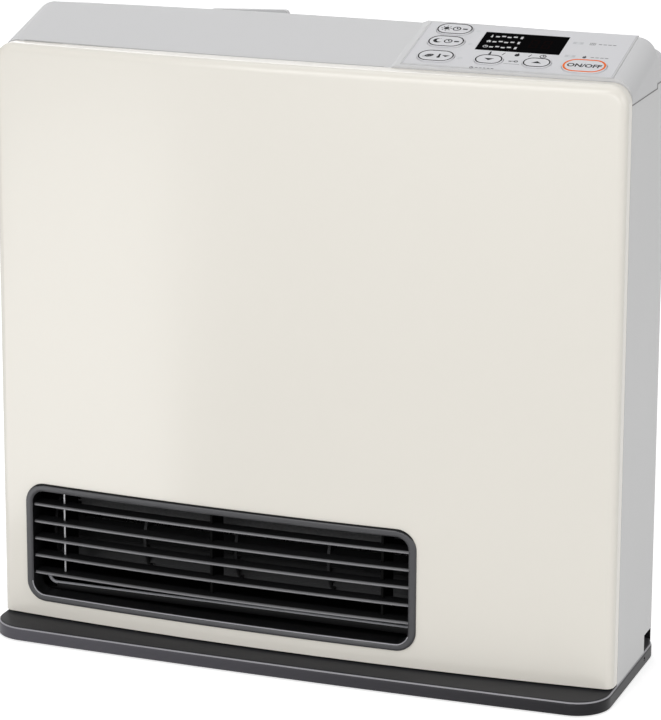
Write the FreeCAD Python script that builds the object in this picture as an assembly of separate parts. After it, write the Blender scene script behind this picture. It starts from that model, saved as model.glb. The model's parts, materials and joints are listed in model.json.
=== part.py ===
import FreeCAD, Part
import os
from math import cos, radians, sin, sqrt, tan
from FreeCAD import Placement, Rotation, Vector

# Gas fan heater, free standing. Millimetres, Z up, front face towards -Y, origin under the middle.

# Fits shared by many pieces
fit_gap = 0.3
seat_gap = 0.1
end_flat = 0.01
near = 0.001

# Base plate and feet
base_overhang = 0.5
base_depth = 150.0
base_thickness = 9.0
base_bow = 4.0
base_front_corner = 24.0
base_rear_corner = 26.0
base_edge_round = 2.5
fence_height = 12.0
fence_thickness = 3.5
fence_length = 13.0
foot_proud = 1.0
foot_recess = 2.0
foot_radius = 11.0
foot_inset_x = 42.5
foot_inset_y = 32.0
side_hole_radius = 1.5
side_hole_depth = 4.0

# Sheet metal body
body_width = 434.0
body_depth = 108.5
lip_depth = 20.5
sheet = 1.0
side_corner = 3.0
flange_width = 12.0
seam_drop = 14.0
seam_step = 3.0
channel_height = 12.0
channel_depth = 20.0
channel_rib = 2.0

# Front panel
panel_height = 396.5
panel_foot_gap = 1.5
panel_bow = 10.0
panel_return = 12.0
panel_edge_round = 6.0
panel_corner = 13.0

# Top cover
cover_wall = 2.5
cover_gap = 0.4
cover_drop = 0.4
cover_front_bow = 4.5
cover_slope = 16.0
cover_end_round = 13.0
ridge_back = 26.0
ridge_bow = 5.0
ridge_round = 3.0
ledge_drop = 9.5
ledge_end_round = 12.0
ledge_rear_round = 6.0

# Control section: places run from its left edge, and reach up the slope from the cover's front edge
control_width = 159.5
control_bevel = 4.0
control_raise = 1.6
sheet_inset = 7.5
sheet_end = 13.5
sheet_front = 5.0
sheet_back = 66.0
sheet_thickness = 0.4
button_clear = 0.3
button_proud = 0.8
button_round = 0.5
button_flange = 1.0
button_travel = 0.6
stem_radius = 1.6
row_front = 17.0
row_middle = 38.5
row_back = 57.1
mode_place = 26.5
mode_size = (24.6, 16.0)
arrow_size = (18.8, 13.6)
down_place = 61.8
up_place = 93.5
power_place = 124.7
power_size = (29.0, 18.6)
window_place = 76.0
window_reach = 44.0
window_size = (56.0, 26.3)
window_ledge = 2.0
window_thickness = 1.6
lamp_radius = 1.4
lamp_clear = 0.1
mode_lamp_place = 42.5
status_lamp_place = 111.5
status_lamp_reach = (30.5, 49.5)
board_drop = 9.0
board_thickness = 1.6
board_margin = 4.0
board_back_margin = 5.0
board_boss_radius = 2.2
board_boss_reach = 30.5
key_size = 6.0
key_height = 4.3
digit_size = (40.0, 16.0)
digit_height = 6.5

# Air outlet
outlet_side = 19.0
works_width = 131.5
outlet_lift = 12.5
outlet_height = 84.0
outlet_corner = 14.0
outlet_rim = 5.0
rim_proud = 2.2
rim_round = 1.8
rim_overlap = 2.2
sleeve_depth = 12.0
blade_count = 5
blade_pitch = 12.2
blade_drop = 14.8
blade_thickness = 2.4
blade_setback = 1.5
blade_depth = 11.0
blade_nose = 1.0
stay_thickness = 1.6
stay_inset = 21.0
stay_middle_inset = 136.0
stay_overlap = 5.0
stay_depth = 20.0

# Chassis, fan and warm air casing
chassis_setback = 11.5
chassis_height = 375.0
chassis_foot = 10.0
fan_radius = 30.0
fan_rear_gap = 1.8
fan_end_gap = 6.5
fan_disc = 2.0
fan_inner_discs = 3
fan_blades = 22
fan_blade_width = 8.0
fan_blade_thickness = 1.0
fan_blade_pitch = 35.0
hub_radius = 9.0
hub_length = 12.0
shaft_radius = 4.0
shaft_fit = 0.04
shaft_stub = 8.0
shaft_hole = 8.0
scroll_gap = 6.0
scroll_sheet = 1.2
scroll_start = 60.0
tongue_start = 130.0
duct_setback = 2.0
slot_count = 9
slot_size = (18.0, 5.0)
motor_radius = 27.0
motor_length = 44.0
motor_round = 2.5
bush_radius = 9.0
bush_flange = 12.5
bush_flange_thickness = 2.0

# Burner and gas train
chamber_bottom = 115.0
chamber_height = 205.0
chamber_front_gap = 10.0
chamber_rear_gap = 14.0
intake_slots = 10
intake_slot_size = (16.0, 60.0)
burner_radius = 13.0
burner_bore = 7.0
burner_lift = 35.0
burner_length = 230.0
burner_flange = 17.0
burner_flange_thickness = 2.0
burner_pin = 5.0
port_count = 26
port_size = (2.4, 12.0)
port_depth = 4.0
nozzle_radius = 5.0
nozzle_reach = 7.0
nozzle_bore = 1.2
nozzle_hole = 9.0
valve_size = (46.0, 42.0, 40.0)
valve_round = 2.5
coil_inset = 27.6
coil_radius = 9.5
coil_height = 28.0
coil_pitch = 20.0
coil_cap = 3.0
plunger_radius = 4.7
plunger_gap = 0.3
plunger_travel = 2.0
pipe_radius = 5.0
pipe_bore = 3.8
pipe_bend = 14.0
plug_side = 52.0
plug_lift = 50.0
plug_radius = 6.5
plug_length = 16.0
plug_flange = 14.0
plug_flange_thickness = 3.0
plug_neck = 8.0
plug_reach = 13.0
plug_bore = 3.0
probe_radius = 3.5
probe_flange = 7.0
probe_back = 7.5
probe_front = 24.0
probe_tip_radius = 1.0
probe_tip = 12.0
probe_lift = 32.0
probe_offset = 10.0
thermo_radius = 8.0
thermo_height = 9.0
thermo_slot = 4
shield_bottom = 108.0
shield_height = 262.0
shield_overhang = 7.0

# Electrics
tray_size = (110.0, 170.0)
tray_side = 11.0
tray_bottom = 195.0
tray_plate = 2.5
tray_boss = 5.5
tray_boss_radius = 4.0
main_board_margin = 5.0
transformer_size = (42.0, 30.0, 36.0)
igniter_size = (34.0, 20.0, 24.0)
capacitor_radius = 8.0
capacitor_length = 22.0
capacitor_count = 3
tip_side = 62.0
tip_y = -14.0
tip_size = (32.0, 22.0, 34.0)
tip_sheet = 2.0
tip_pin = 2.0
tip_pin_fit = 0.05
tip_eye = 4.5
tip_arm = 17.0
tip_arm_width = 4.0
tip_bob = 5.5
tip_bob_length = 9.0
tip_pin_drop = 5.0
sensor_side = 87.0
sensor_lift = 130.0
sensor_radius = 4.0
sensor_flange = 7.0
sensor_flange_thickness = 2.0
sensor_tip = 5.0
sensor_reach = 5.0
gland_side = 27.0
gland_lift = 34.0
gland_radius = 7.0
gland_flange = 10.0
gland_flange_thickness = 3.0
gland_reach = 5.0
gland_bore = 3.6

# Rear air filter
filter_side = 23.0
filter_width = 238.0
filter_height = 268.0
filter_bottom = 118.0
filter_thickness = 5.0
filter_border = 7.0
filter_rib = 3.0
filter_rows = 4
filter_columns = 3
filter_clear = 0.6
mesh_thickness = 0.6
tab_width = 57.0
tab_rise = 28.3
tab_slant = 2.6
tab_round = 3.0
tab_thickness = 4.0
guide_width = 8.0
grille_thickness = 2.5
grille_bars = 22
grille_bar = 4.0
grille_ribs = 3
intake_border = 12.0

# Screws
screw_radius = 1.5
screw_clear = 0.2
screw_head_radius = 3.2
screw_head_height = 1.8
screw_length = 6.0
screw_round = 0.6
rear_screw_lifts = (60.0, 200.0, 350.0)

# Places worked out from the sizes above
half_body = body_width / 2
base_width = body_width + 2 * base_overhang
base_front_y = -base_depth / 2
base_top = foot_proud + base_thickness
panel_apex = base_front_y + lip_depth
body_rear = panel_apex + body_depth
panel_bottom = base_top + panel_foot_gap
panel_top = panel_bottom + panel_height
seam = panel_top - seam_drop
rear_sheet_front = body_rear - 2 * sheet
rear_sheet_back = body_rear - sheet
channel_front = body_rear - channel_depth
channel_top = base_top + channel_height
panel_side_y = panel_apex + panel_bow
joint_side_y = panel_side_y + panel_return
joint_apex = joint_side_y - cover_front_bow
cover_front_y = joint_apex + cover_gap
cover_front_z = panel_top - cover_drop
cover_rise = tan(radians(cover_slope))
ridge_side_y = body_rear - ridge_back
ridge_apex = ridge_side_y + ridge_bow
ridge_z = cover_front_z + (ridge_side_y - cover_front_y) * cover_rise
ledge_z = ridge_z - ledge_drop
control_left = half_body - control_width
sheet_left = control_left + sheet_inset
sheet_right = half_body - sheet_end
window_x = control_left + window_place
sheet_level = control_raise + sheet_thickness
under_level = control_raise - cover_wall
board_level = -board_drop
outlet_left = outlet_side - half_body
outlet_right = half_body - works_width
outlet_bottom = base_top + outlet_lift
outlet_top = outlet_bottom + outlet_height
duct_left = outlet_left + fit_gap
duct_right = outlet_right - fit_gap
chassis_front = panel_side_y + chassis_setback
chassis_top = base_top + chassis_height
scroll_radius = fan_radius + scroll_gap
fan_y = rear_sheet_front - fan_rear_gap - scroll_sheet - scroll_radius
fan_z = outlet_bottom + outlet_rim + scroll_radius
duct_front = chassis_front + duct_setback
tongue_z = outlet_top - outlet_rim + scroll_sheet
chamber_z = base_top + chamber_bottom
chamber_top = chamber_z + chamber_height
chamber_front = chassis_front + chamber_front_gap
chamber_rear = rear_sheet_front - chamber_rear_gap
burner_y = (chamber_front + chamber_rear) / 2
burner_z = chamber_z + burner_lift
valve_left = duct_right + sheet
valve_z = burner_z + valve_size[2] / 2
coil_x = valve_left + coil_inset
plug_x = half_body - plug_side
plug_z = base_top + plug_lift
tray_x = half_body - tray_side - tray_size[0] / 2
tray_z = base_top + tray_bottom
board_face = rear_sheet_front - tray_plate - tray_boss
tip_x = half_body - tip_side
sensor_x = half_body - sensor_side
gland_x = half_body - gland_side
filter_x = filter_side - half_body + filter_width / 2
filter_z = base_top + filter_bottom
filter_front = body_rear + filter_clear
grille_front = filter_front + filter_thickness + filter_clear
modes = {"button_boost": row_back, "button_sleep": row_middle, "button_eco": row_front}
buttons = {name: (control_left + mode_place, reach, mode_size) for name, reach in modes.items()}
buttons["button_down"] = (control_left + down_place, row_front, arrow_size)
buttons["button_up"] = (control_left + up_place, row_front, arrow_size)
buttons["button_power"] = (control_left + power_place, row_front, power_size)
lamps = [(control_left + mode_lamp_place, reach) for reach in modes.values()]
lamps += [(control_left + status_lamp_place, reach) for reach in status_lamp_reach]
along_x = Vector(1, 0, 0)
along_y = Vector(0, 1, 0)
along_z = Vector(0, 0, 1)
cover_edge = Vector(0, cover_front_y, cover_front_z)
control_frame = Placement(cover_edge, Rotation(along_x, cover_slope))


def box(x, y, z):
    return Part.makeBox(x[1] - x[0], y[1] - y[0], z[1] - z[0], Vector(x[0], y[0], z[0]))


def rod(radius, start, end):
    return Part.makeCylinder(radius, (end - start).Length, start, end - start)


def joined(first, *others):
    return first.multiFuse(list(others)).removeSplitter()


def middle(edge):
    return edge.valueAt((edge.FirstParameter + edge.LastParameter) / 2)


def rounded(shape, radius, wanted):
    return shape.makeFillet(radius, [edge for edge in shape.Edges if wanted(middle(edge))])


def bowed(apex, sagitta, half):
    # A circular bow in plan: y over x, with its apex on the centre line
    radius = (half * half + sagitta * sagitta) / (2 * abs(sagitta))
    way = 1 if sagitta > 0 else -1
    return lambda x: apex + way * (radius - sqrt(radius * radius - x * x))


def level(y):
    return lambda x: y


def shifted(curve, distance):
    return lambda x: curve(x) + distance


def plan_edge(curve, x0, x1):
    ends = [Vector(x, curve(x), 0) for x in (x0, (x0 + x1) / 2, x1)]
    if abs(ends[1].y - (ends[0].y + ends[2].y) / 2) < near:
        return Part.makeLine(ends[0], ends[2])
    return Part.Arc(*ends).toShape()


def plan_slab(x, front, rear, z):
    # The space between two plan curves, from one height to another
    edges = [plan_edge(front, *x)]
    edges.append(Part.makeLine(Vector(x[1], front(x[1]), 0), Vector(x[1], rear(x[1]), 0)))
    edges.append(plan_edge(rear, x[1], x[0]))
    edges.append(Part.makeLine(Vector(x[0], rear(x[0]), 0), Vector(x[0], front(x[0]), 0)))
    face = Part.Face(Part.Wire(edges))
    face.translate(Vector(0, 0, z[0]))
    return face.extrude(Vector(0, 0, z[1] - z[0]))


def rounded_face(x, y, low, high):
    # A rectangle in the XY plane with one radius on its low corners and one on its high ones
    corners = [(x[0] + low, y[0] + low, low, 180), (x[1] - low, y[0] + low, low, 270)]
    corners += [(x[1] - high, y[1] - high, high, 0), (x[0] + high, y[1] - high, high, 90)]
    rims = []
    for cx, cy, radius, start in corners:
        turn = [radians(start + step) for step in (0, 45, 90)]
        rims.append([Vector(cx + radius * cos(t), cy + radius * sin(t), 0) for t in turn])
    edges = []
    for rim, following in zip(rims, rims[1:] + rims[:1]):
        if (rim[2] - rim[0]).Length > near:
            edges.append(Part.Arc(*rim).toShape())
        edges.append(Part.makeLine(rim[2], following[0]))
    return Part.Face(Part.Wire(edges))


def front_block(x, z, low, high, y):
    # A rounded rectangle seen from the front, run back from one depth to another
    face = rounded_face(x, z, low, high)
    face.rotate(Vector(), along_x, 90)
    face.translate(Vector(0, y[0], 0))
    return face.extrude(Vector(0, y[1] - y[0], 0))


def raised_block(x, y, radius, z):
    face = rounded_face(x, y, radius, radius)
    face.translate(Vector(0, 0, z[0]))
    return face.extrude(Vector(0, 0, z[1] - z[0]))


def pill(x, reach, size, grow, z):
    half = [side / 2 + grow for side in size]
    spans = (x - half[0], x + half[0]), (reach - half[1], reach + half[1])
    return raised_block(*spans, min(half) - end_flat, z)


def on_slope(shape):
    shape.Placement = control_frame.multiply(shape.Placement)
    return shape


def side_sheet(points, x):
    # A closed outline in the YZ plane, run along X
    loop = [Vector(x[0], y, z) for y, z in points]
    return Part.Face(Part.makePolygon(loop + loop[:1])).extrude(Vector(x[1] - x[0], 0, 0))


def screw(seat, way):
    # A pan head on its seat and a shank that runs the way given
    head = rod(screw_head_radius, seat - way * screw_head_height, seat)
    top = seat - way * screw_head_height
    head = rounded(head, screw_round, lambda p: abs((p - top).dot(way)) < near)
    return joined(head, rod(screw_radius, seat, seat + way * screw_length))


def screw_hole(seat, way):
    return rod(screw_radius + screw_clear, seat - way * sheet, seat + way * (screw_length + sheet))


panel_face = bowed(panel_apex, panel_bow, half_body)
panel_joint = bowed(joint_apex, cover_front_bow, half_body)
cover_joint = shifted(panel_joint, cover_gap)
ridge = bowed(ridge_apex, -ridge_bow, half_body)
rear_screw_x = half_body - sheet - flange_width / 2
rear_seats = [Vector(side * rear_screw_x, body_rear, base_top + lift)
              for side in (-1, 1) for lift in rear_screw_lifts]
base_screw_y = [joint_side_y + flange_width, channel_front - flange_width]
base_seats = [Vector(side * rear_screw_x, y, base_top + sheet) for side in (-1, 1) for y in base_screw_y]
guide_left = filter_x - filter_width / 2 - filter_clear
guide_right = filter_x + filter_width / 2 + filter_clear
guide_low = filter_z - filter_clear - guide_width
guide_high = filter_z + filter_height
grille_seats = [Vector(x, grille_front + grille_thickness, z)
                for x in (guide_left - guide_width / 2, guide_right + guide_width / 2)
                for z in (guide_low + guide_width / 2, guide_high - guide_width)]


def base():
    low = foot_proud
    half = base_width / 2
    front = bowed(base_front_y, base_bow, half)
    plate = plan_slab((-half, half), front, level(base_depth / 2), (low, base_top))
    upright = lambda p: abs(abs(p.x) - half) < near and abs(p.z - (low + base_top) / 2) < near
    plate = rounded(plate, base_front_corner, lambda p: upright(p) and p.y < 0)
    plate = rounded(plate, base_rear_corner, lambda p: upright(p) and p.y > 0)
    plate = rounded(plate, base_edge_round, lambda p: abs(p.z - base_top) < near)
    rib_half = half_body - sheet - flange_width - fit_gap
    rib_y = (channel_front - channel_rib, channel_front)
    plate = joined(plate, box((-rib_half, rib_half), rib_y, (base_top - sheet, channel_top)), rear_fence())
    for spot in foot_spots():
        plate = plate.cut(rod(foot_radius + seat_gap, spot - along_z, spot + along_z * foot_recess))
    for seat in base_seats:
        plate = plate.cut(screw_hole(seat, -along_z))
    inner = half - side_hole_depth
    for side in (-1, 1):
        start = Vector(side * inner, channel_front, low + base_thickness / 2)
        plate = plate.cut(rod(side_hole_radius, start, start + along_x * side * base_thickness))
    return plate


def rear_fence():
    # A low wall along the base's rear edge that keeps the back clear of a room's wall
    half = base_width / 2
    rear = base_depth / 2
    spans = [(-half + inset, half - inset) for inset in (0, fence_thickness)]
    z = (foot_proud + base_edge_round, base_top + fence_height)
    outer = rounded_face(spans[0], (0, rear), base_edge_round, base_rear_corner)
    inner_corner = base_rear_corner - fence_thickness
    inner = rounded_face(spans[1], (0, rear - fence_thickness), base_edge_round, inner_corner)
    wall = outer.cut(inner)
    wall.translate(along_z * z[0])
    wall = wall.extrude(along_z * (z[1] - z[0]))
    return wall.common(box((-base_width, base_width), (rear - fence_length, base_depth), z))


def foot_spots():
    x = base_width / 2 - foot_inset_x
    y = base_depth / 2 - foot_inset_y
    return [Vector(sx * x, sy * y, foot_proud) for sx in (-1, 1) for sy in (-1, 1)]


def base_feet():
    return [rod(foot_radius, spot - along_z * foot_proud, spot + along_z * foot_recess)
            for spot in foot_spots()]


def panel_block(inset):
    # The panel's outer form, or with an inset the space inside it
    half = half_body - inset
    front = shifted(panel_face, inset)
    open_back = sheet if inset else 0
    z = (panel_bottom + inset, panel_top - inset)
    slab = plan_slab((-half, half), front, shifted(panel_joint, open_back), z)
    upper_corner = lambda p: abs(abs(p.x) - half) < near and abs(p.z - z[1]) < near
    slab = rounded(slab, panel_corner - inset, upper_corner)
    on_front = lambda p: abs(p.y - front(p.x)) < near and p.z > z[0] + near
    return rounded(slab, panel_edge_round - inset, on_front)


def outlet_block(inset, front, rear):
    # The outlet's rounded outline, drawn in by an inset, between two bowed surfaces
    x = (outlet_left + inset, outlet_right - inset)
    z = (outlet_bottom + inset, outlet_top - inset)
    slab = plan_slab(x, shifted(panel_face, front), shifted(panel_face, rear), z)
    at_end = lambda value, ends: min(abs(value - ends[0]), abs(value - ends[1])) < near
    return rounded(slab, outlet_corner - inset, lambda p: at_end(p.x, x) and at_end(p.z, z))


def front_panel():
    opening = outlet_block(rim_overlap, -panel_bow, 2 * panel_bow)
    return panel_block(0).cut(panel_block(sheet)).cut(opening)


def outlet_frame():
    # A rounded rim on the panel's face and a sleeve that goes back through it
    hollow = outlet_block(outlet_rim, -panel_bow, 2 * sleeve_depth)
    rim = outlet_block(0, -rim_proud, -seat_gap).cut(hollow)
    nose = shifted(panel_face, -rim_proud)
    rim = rounded(rim, rim_round, lambda p: abs(p.y - nose(p.x)) < near)
    sleeve = outlet_block(rim_overlap + fit_gap, -rim_proud / 2, sleeve_depth).cut(hollow)
    return joined(rim, sleeve)


def blade_block(index, grow):
    top = outlet_top - blade_drop - index * blade_pitch
    x = (outlet_left + outlet_rim + fit_gap - grow, outlet_right - outlet_rim - fit_gap + grow)
    front = shifted(panel_face, blade_setback - grow)
    rear = shifted(panel_face, blade_setback + blade_depth + grow)
    return plan_slab(x, front, rear, (top - blade_thickness - grow, top + grow))


def louver_blades():
    nose = shifted(panel_face, blade_setback)
    on_nose = lambda p: abs(p.y - nose(p.x)) < near
    ends = (outlet_left + outlet_rim + fit_gap, outlet_right - outlet_rim - fit_gap)
    long_edge = lambda p: on_nose(p) and min(abs(p.x - ends[0]), abs(p.x - ends[1])) > near
    return [rounded(blade_block(i, 0), blade_nose, long_edge) for i in range(blade_count)]


def louver_stays():
    inner = (outlet_left + outlet_rim + stay_inset, outlet_right - outlet_rim - stay_inset)
    front = shifted(panel_face, blade_setback + blade_depth - stay_overlap)
    foot = outlet_top - blade_drop - (blade_count - 1) * blade_pitch - blade_thickness
    z = (foot, outlet_top - outlet_rim - seat_gap)
    stays = []
    for x in (inner[0], outlet_left + stay_middle_inset, inner[1]):
        half = stay_thickness / 2
        stay = plan_slab((x - half, x + half), front, level(front(x) + stay_depth), z)
        for index in range(blade_count):
            stay = stay.cut(blade_block(index, seat_gap))
        stays.append(stay)
    return stays


def side_panel():
    # The right hand panel: side, rear flange and foot flange, with the notch for a cord or hose
    outer = half_body
    inner = outer - sheet
    bend = side_corner
    lip = outer - sheet - flange_width
    front = joint_side_y + cover_gap
    quarter = sqrt(0.5)
    hub = Vector(outer - bend, body_rear - bend, 0)
    slant = Vector(1, 1, 0) * quarter
    out_arc = [Vector(outer, hub.y, 0), hub + slant * bend, Vector(hub.x, body_rear, 0)]
    in_arc = [Vector(hub.x, rear_sheet_back, 0), hub + slant * (bend - sheet), Vector(inner, hub.y, 0)]
    corners = [Vector(lip, body_rear, 0), Vector(lip, rear_sheet_back, 0)]
    edges = [Part.makeLine(Vector(outer, front, 0), out_arc[0]), Part.Arc(*out_arc).toShape()]
    edges += [Part.makeLine(out_arc[2], corners[0]), Part.makeLine(*corners)]
    edges += [Part.makeLine(corners[1], in_arc[0]), Part.Arc(*in_arc).toShape()]
    edges.append(Part.makeLine(in_arc[2], Vector(inner, front, 0)))
    edges.append(Part.makeLine(Vector(inner, front, 0), Vector(outer, front, 0)))
    skin = Part.Face(Part.Wire(edges))
    skin.translate(Vector(0, 0, base_top))
    skin = skin.extrude(Vector(0, 0, seam + seam_step - base_top))
    foot = box((lip, inner), (front, channel_front - channel_rib), (base_top, base_top + sheet))
    skin = joined(skin, foot)
    across = (lip - sheet, outer + sheet)
    skin = skin.cut(box(across, (front - sheet, ridge_side_y), (seam, seam + 2 * seam_step)))
    notch_y = (channel_front, body_rear + sheet)
    skin = skin.cut(box(across, notch_y, (base_top - sheet, channel_top)))
    for seat in rear_seats:
        skin = skin.cut(screw_hole(seat, -along_y))
    for seat in base_seats:
        skin = skin.cut(screw_hole(seat, -along_z))
    return skin


def left_side_panel():
    return side_panel().mirror(Vector(), along_x)


def rear_panel():
    half = half_body - side_corner - fit_gap
    y = (rear_sheet_front, rear_sheet_back)
    plate = box((-half, half), y, (channel_top, seam))
    flange_y = (channel_front - channel_rib, rear_sheet_back)
    plate = joined(plate, box((-half, half), flange_y, (channel_top, channel_top + sheet)))
    intake_x = (guide_left + intake_border, guide_right - intake_border)
    intake_z = (filter_z + intake_border, filter_z + filter_height - intake_border)
    through = (y[0] - sheet, y[1] + sheet)
    plate = plate.cut(front_block(intake_x, intake_z, filter_border, filter_border, through))
    holes = [(plug_x, plug_z, plug_neck), (sensor_x, base_top + sensor_lift, sensor_radius)]
    holes.append((gland_x, base_top + gland_lift, gland_radius))
    for x, z, radius in holes:
        plate = plate.cut(rod(radius + fit_gap, *[Vector(x, depth, z) for depth in through]))
    for seat in rear_seats + grille_seats:
        plate = plate.cut(screw_hole(Vector(seat.x, body_rear, seat.z), -along_y))
    return plate


def cover_bottom(inset):
    return seam - seam_drop if inset else seam


def cover_plan(front, rear, inset):
    # The cover's plan between two curves, wide enough to leave the ends to what it trims
    half = half_body + sheet
    return plan_slab((-half, half), front, rear, (cover_bottom(inset), panel_top + base_depth))


def slope_block(inset):
    # The sloping part of the cover, or with an inset the space under it
    half = half_body - inset
    low = -panel_height / 2
    block = front_block((-half, half), (low, -inset), 0, cover_end_round - inset, (-base_depth, base_depth))
    front = shifted(cover_joint, inset)
    rear = shifted(ridge, -inset)
    block = on_slope(block).common(cover_plan(front, rear, inset))
    if inset:
        return block
    return rounded(block, ridge_round, lambda p: abs(p.y - rear(p.x)) < near and p.z > seam + near)


def control_block(inset):
    # The raised control section with a bevel on its left, or with an inset the space under it
    left = control_left + inset
    right = half_body - inset
    top = control_raise - inset
    low = -panel_height / 2
    block = front_block((left, right), (low, top), 0, cover_end_round - inset, (-base_depth, base_depth))
    lean = control_raise + seat_gap
    bevel = left + control_bevel
    edge = [(left, top + seat_gap), (left, top - lean), (bevel, top), (bevel, top + seat_gap)]
    edge = [Vector(x, -base_depth, z) for x, z in edge]
    block = joined(block, box((left, left + 2 * cover_end_round), (-base_depth, base_depth), (low, top)))
    block = block.cut(Part.Face(Part.makePolygon(edge + edge[:1])).extrude(along_y * 2 * base_depth))
    front = shifted(cover_joint, inset)
    rear = shifted(ridge, -inset)
    block = on_slope(block).common(cover_plan(front, rear, inset))
    if inset:
        return block
    return rounded(block, ridge_round, lambda p: abs(p.y - rear(p.x)) < near and p.z > ledge_z)


def ledge_block(inset):
    # The lower ledge behind the ridge, or with an inset the space under it
    half = half_body - inset
    bottom = cover_bottom(inset)
    y = (ridge_side_y - ridge_back, body_rear - inset)
    block = front_block((-half, half), (bottom, ledge_z - inset), 0, ledge_end_round - inset, y)
    if inset:
        return block
    return rounded(block, ledge_rear_round, lambda p: abs(p.y - y[1]) < near and p.z > bottom + near)


def top_cover():
    forms = [slope_block, control_block, ledge_block]
    cover = joined(*[form(0) for form in forms])
    cover = cover.cut(joined(*[form(cover_wall) for form in forms]))
    step_y = (ridge_side_y, body_rear + sheet)
    cover = cover.cut(box((-half_body, half_body), step_y, (seam - sheet, seam + seam_step)))
    rise = along_z * (under_level - board_level + sheet)
    bosses = [on_slope(rod(board_boss_radius, spot, spot + rise)) for spot in board_spots()]
    cover = joined(cover, *bosses)
    depth = (under_level - sheet, sheet_level + sheet)
    for x, reach, size in buttons.values():
        cover = cover.cut(on_slope(pill(x, reach, size, button_clear, depth)))
    for x, reach in lamps:
        cover = cover.cut(on_slope(lamp_rod(x, reach, lamp_radius + lamp_clear, depth)))
    cover = cover.cut(on_slope(window_block(-window_ledge, depth)))
    pocket = (sheet_level - window_thickness, depth[1])
    return cover.cut(on_slope(window_block(seat_gap, pocket)))


def lamp_rod(x, reach, radius, z):
    return rod(radius, Vector(x, reach, z[0]), Vector(x, reach, z[1]))


def window_block(grow, z):
    half = [side / 2 + grow for side in window_size]
    x = (window_x - half[0], window_x + half[0])
    return box(x, (window_reach - half[1], window_reach + half[1]), z)


def control_sheet():
    z = (control_raise, sheet_level)
    skin = raised_block((sheet_left, sheet_right), (sheet_front, sheet_back), sheet, z)
    depth = (control_raise - sheet, sheet_level + sheet)
    for x, reach, size in buttons.values():
        skin = skin.cut(pill(x, reach, size, button_clear, depth))
    for x, reach in lamps:
        skin = skin.cut(lamp_rod(x, reach, lamp_radius + lamp_clear, depth))
    return on_slope(skin.cut(window_block(seat_gap, depth)))


def display_window():
    return on_slope(window_block(0, (sheet_level - window_thickness, sheet_level)))


def button(x, reach, size):
    # A cap through the cover, a flange that keeps it in, and a stem over its key switch
    flange_top = under_level - button_clear
    flange_low = flange_top - button_flange
    key_top = board_level + key_height
    cap = pill(x, reach, size, 0, (flange_low, sheet_level + button_proud))
    cap = rounded(cap, button_round, lambda p: p.z > sheet_level + button_proud - near)
    flange = pill(x, reach, size, button_flange, (flange_low, flange_top))
    stem_low = key_top + button_travel + seat_gap
    stem = rod(stem_radius, Vector(x, reach, stem_low), Vector(x, reach, flange_low))
    return on_slope(joined(cap, flange, stem))


def indicator_lenses():
    return [on_slope(lamp_rod(x, reach, lamp_radius, (board_level, sheet_level))) for x, reach in lamps]


def board_bounds():
    x = (control_left + control_bevel + board_margin, half_body - cover_end_round - board_margin)
    return x, (sheet_front + cover_wall + board_margin, sheet_back - board_back_margin)


def board_spots():
    x, y = board_bounds()
    across = (x[0] + board_boss_radius, x[1] - board_boss_radius)
    up_slope = (board_boss_reach, y[1] - board_boss_radius)
    return [Vector(px, py, board_level) for px in across for py in up_slope]


def control_board():
    return on_slope(box(*board_bounds(), (board_level - board_thickness, board_level)))


def key_switches():
    half = key_size / 2
    z = (board_level, board_level + key_height)
    return [on_slope(box((x - half, x + half), (reach - half, reach + half), z))
            for x, reach, _ in buttons.values()]


def number_display():
    half = [side / 2 for side in digit_size]
    x = (window_x - half[0], window_x + half[0])
    y = (window_reach - half[1], window_reach + half[1])
    return on_slope(box(x, y, (board_level, board_level + digit_height)))


def chassis_plate(x, holes):
    # An upright plate with a foot flange, cut clear of the cord channel at the rear
    plate = box((x, x + sheet), (chassis_front, rear_sheet_front), (base_top, chassis_top))
    foot_x = (x + sheet, x + sheet + chassis_foot)
    foot = box(foot_x, (chassis_front, channel_front - 2 * channel_rib), (base_top, base_top + sheet))
    plate = joined(plate, foot)
    notch_y = (channel_front - channel_rib - fit_gap, rear_sheet_front + sheet)
    notch_z = (base_top - sheet, channel_top + sheet + fit_gap)
    plate = plate.cut(box((x - sheet, x + 2 * sheet), notch_y, notch_z))
    for y, z, radius in holes:
        plate = plate.cut(rod(radius, Vector(x - sheet, y, z), Vector(x + 2 * sheet, y, z)))
    return plate


def left_chassis_plate():
    return chassis_plate(duct_left - sheet, [(fan_y, fan_z, bush_radius + seat_gap)])


def right_chassis_plate():
    holes = [(fan_y, fan_z, shaft_hole), (burner_y, burner_z, nozzle_hole)]
    holes += [(y, z, probe_radius + fit_gap) for y, z in probe_spots()]
    return chassis_plate(duct_right, holes)


def fan_wheel():
    x0 = duct_left + fan_end_gap
    x1 = duct_right - fan_end_gap
    axis = Vector(0, fan_y, fan_z)
    gap = (x1 - x0 - fan_disc) / (fan_inner_discs + 1)
    discs = []
    for index in range(fan_inner_discs + 2):
        start = axis + along_x * (x0 + index * gap)
        disc = rod(fan_radius, start, start + along_x * fan_disc)
        if 0 < index <= fan_inner_discs:
            beyond = start + along_x * 2 * fan_disc
            disc = disc.cut(rod(fan_radius - fan_blade_width, start - along_x * fan_disc, beyond))
        discs.append(disc)
    discs.append(rod(hub_radius, axis + along_x * x0, axis + along_x * (x0 + hub_length)))
    discs.append(rod(hub_radius, axis + along_x * (x1 - hub_length), axis + along_x * x1))
    half = fan_blade_width / 2
    thin = fan_blade_thickness / 2
    for index in range(fan_blades):
        blade = box((x0, x1), (-half, half), (-thin, thin))
        blade.rotate(Vector(), along_x, fan_blade_pitch)
        blade.translate(Vector(0, fan_radius - half, 0))
        blade.rotate(Vector(), along_x, index * 360 / fan_blades)
        blade.translate(axis)
        discs.append(blade)
    ends = [axis + along_x * x for x in (x0 - fan_disc, x1 + fan_disc)]
    return joined(*discs).cut(rod(shaft_radius + shaft_fit / 2, *ends))


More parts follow.
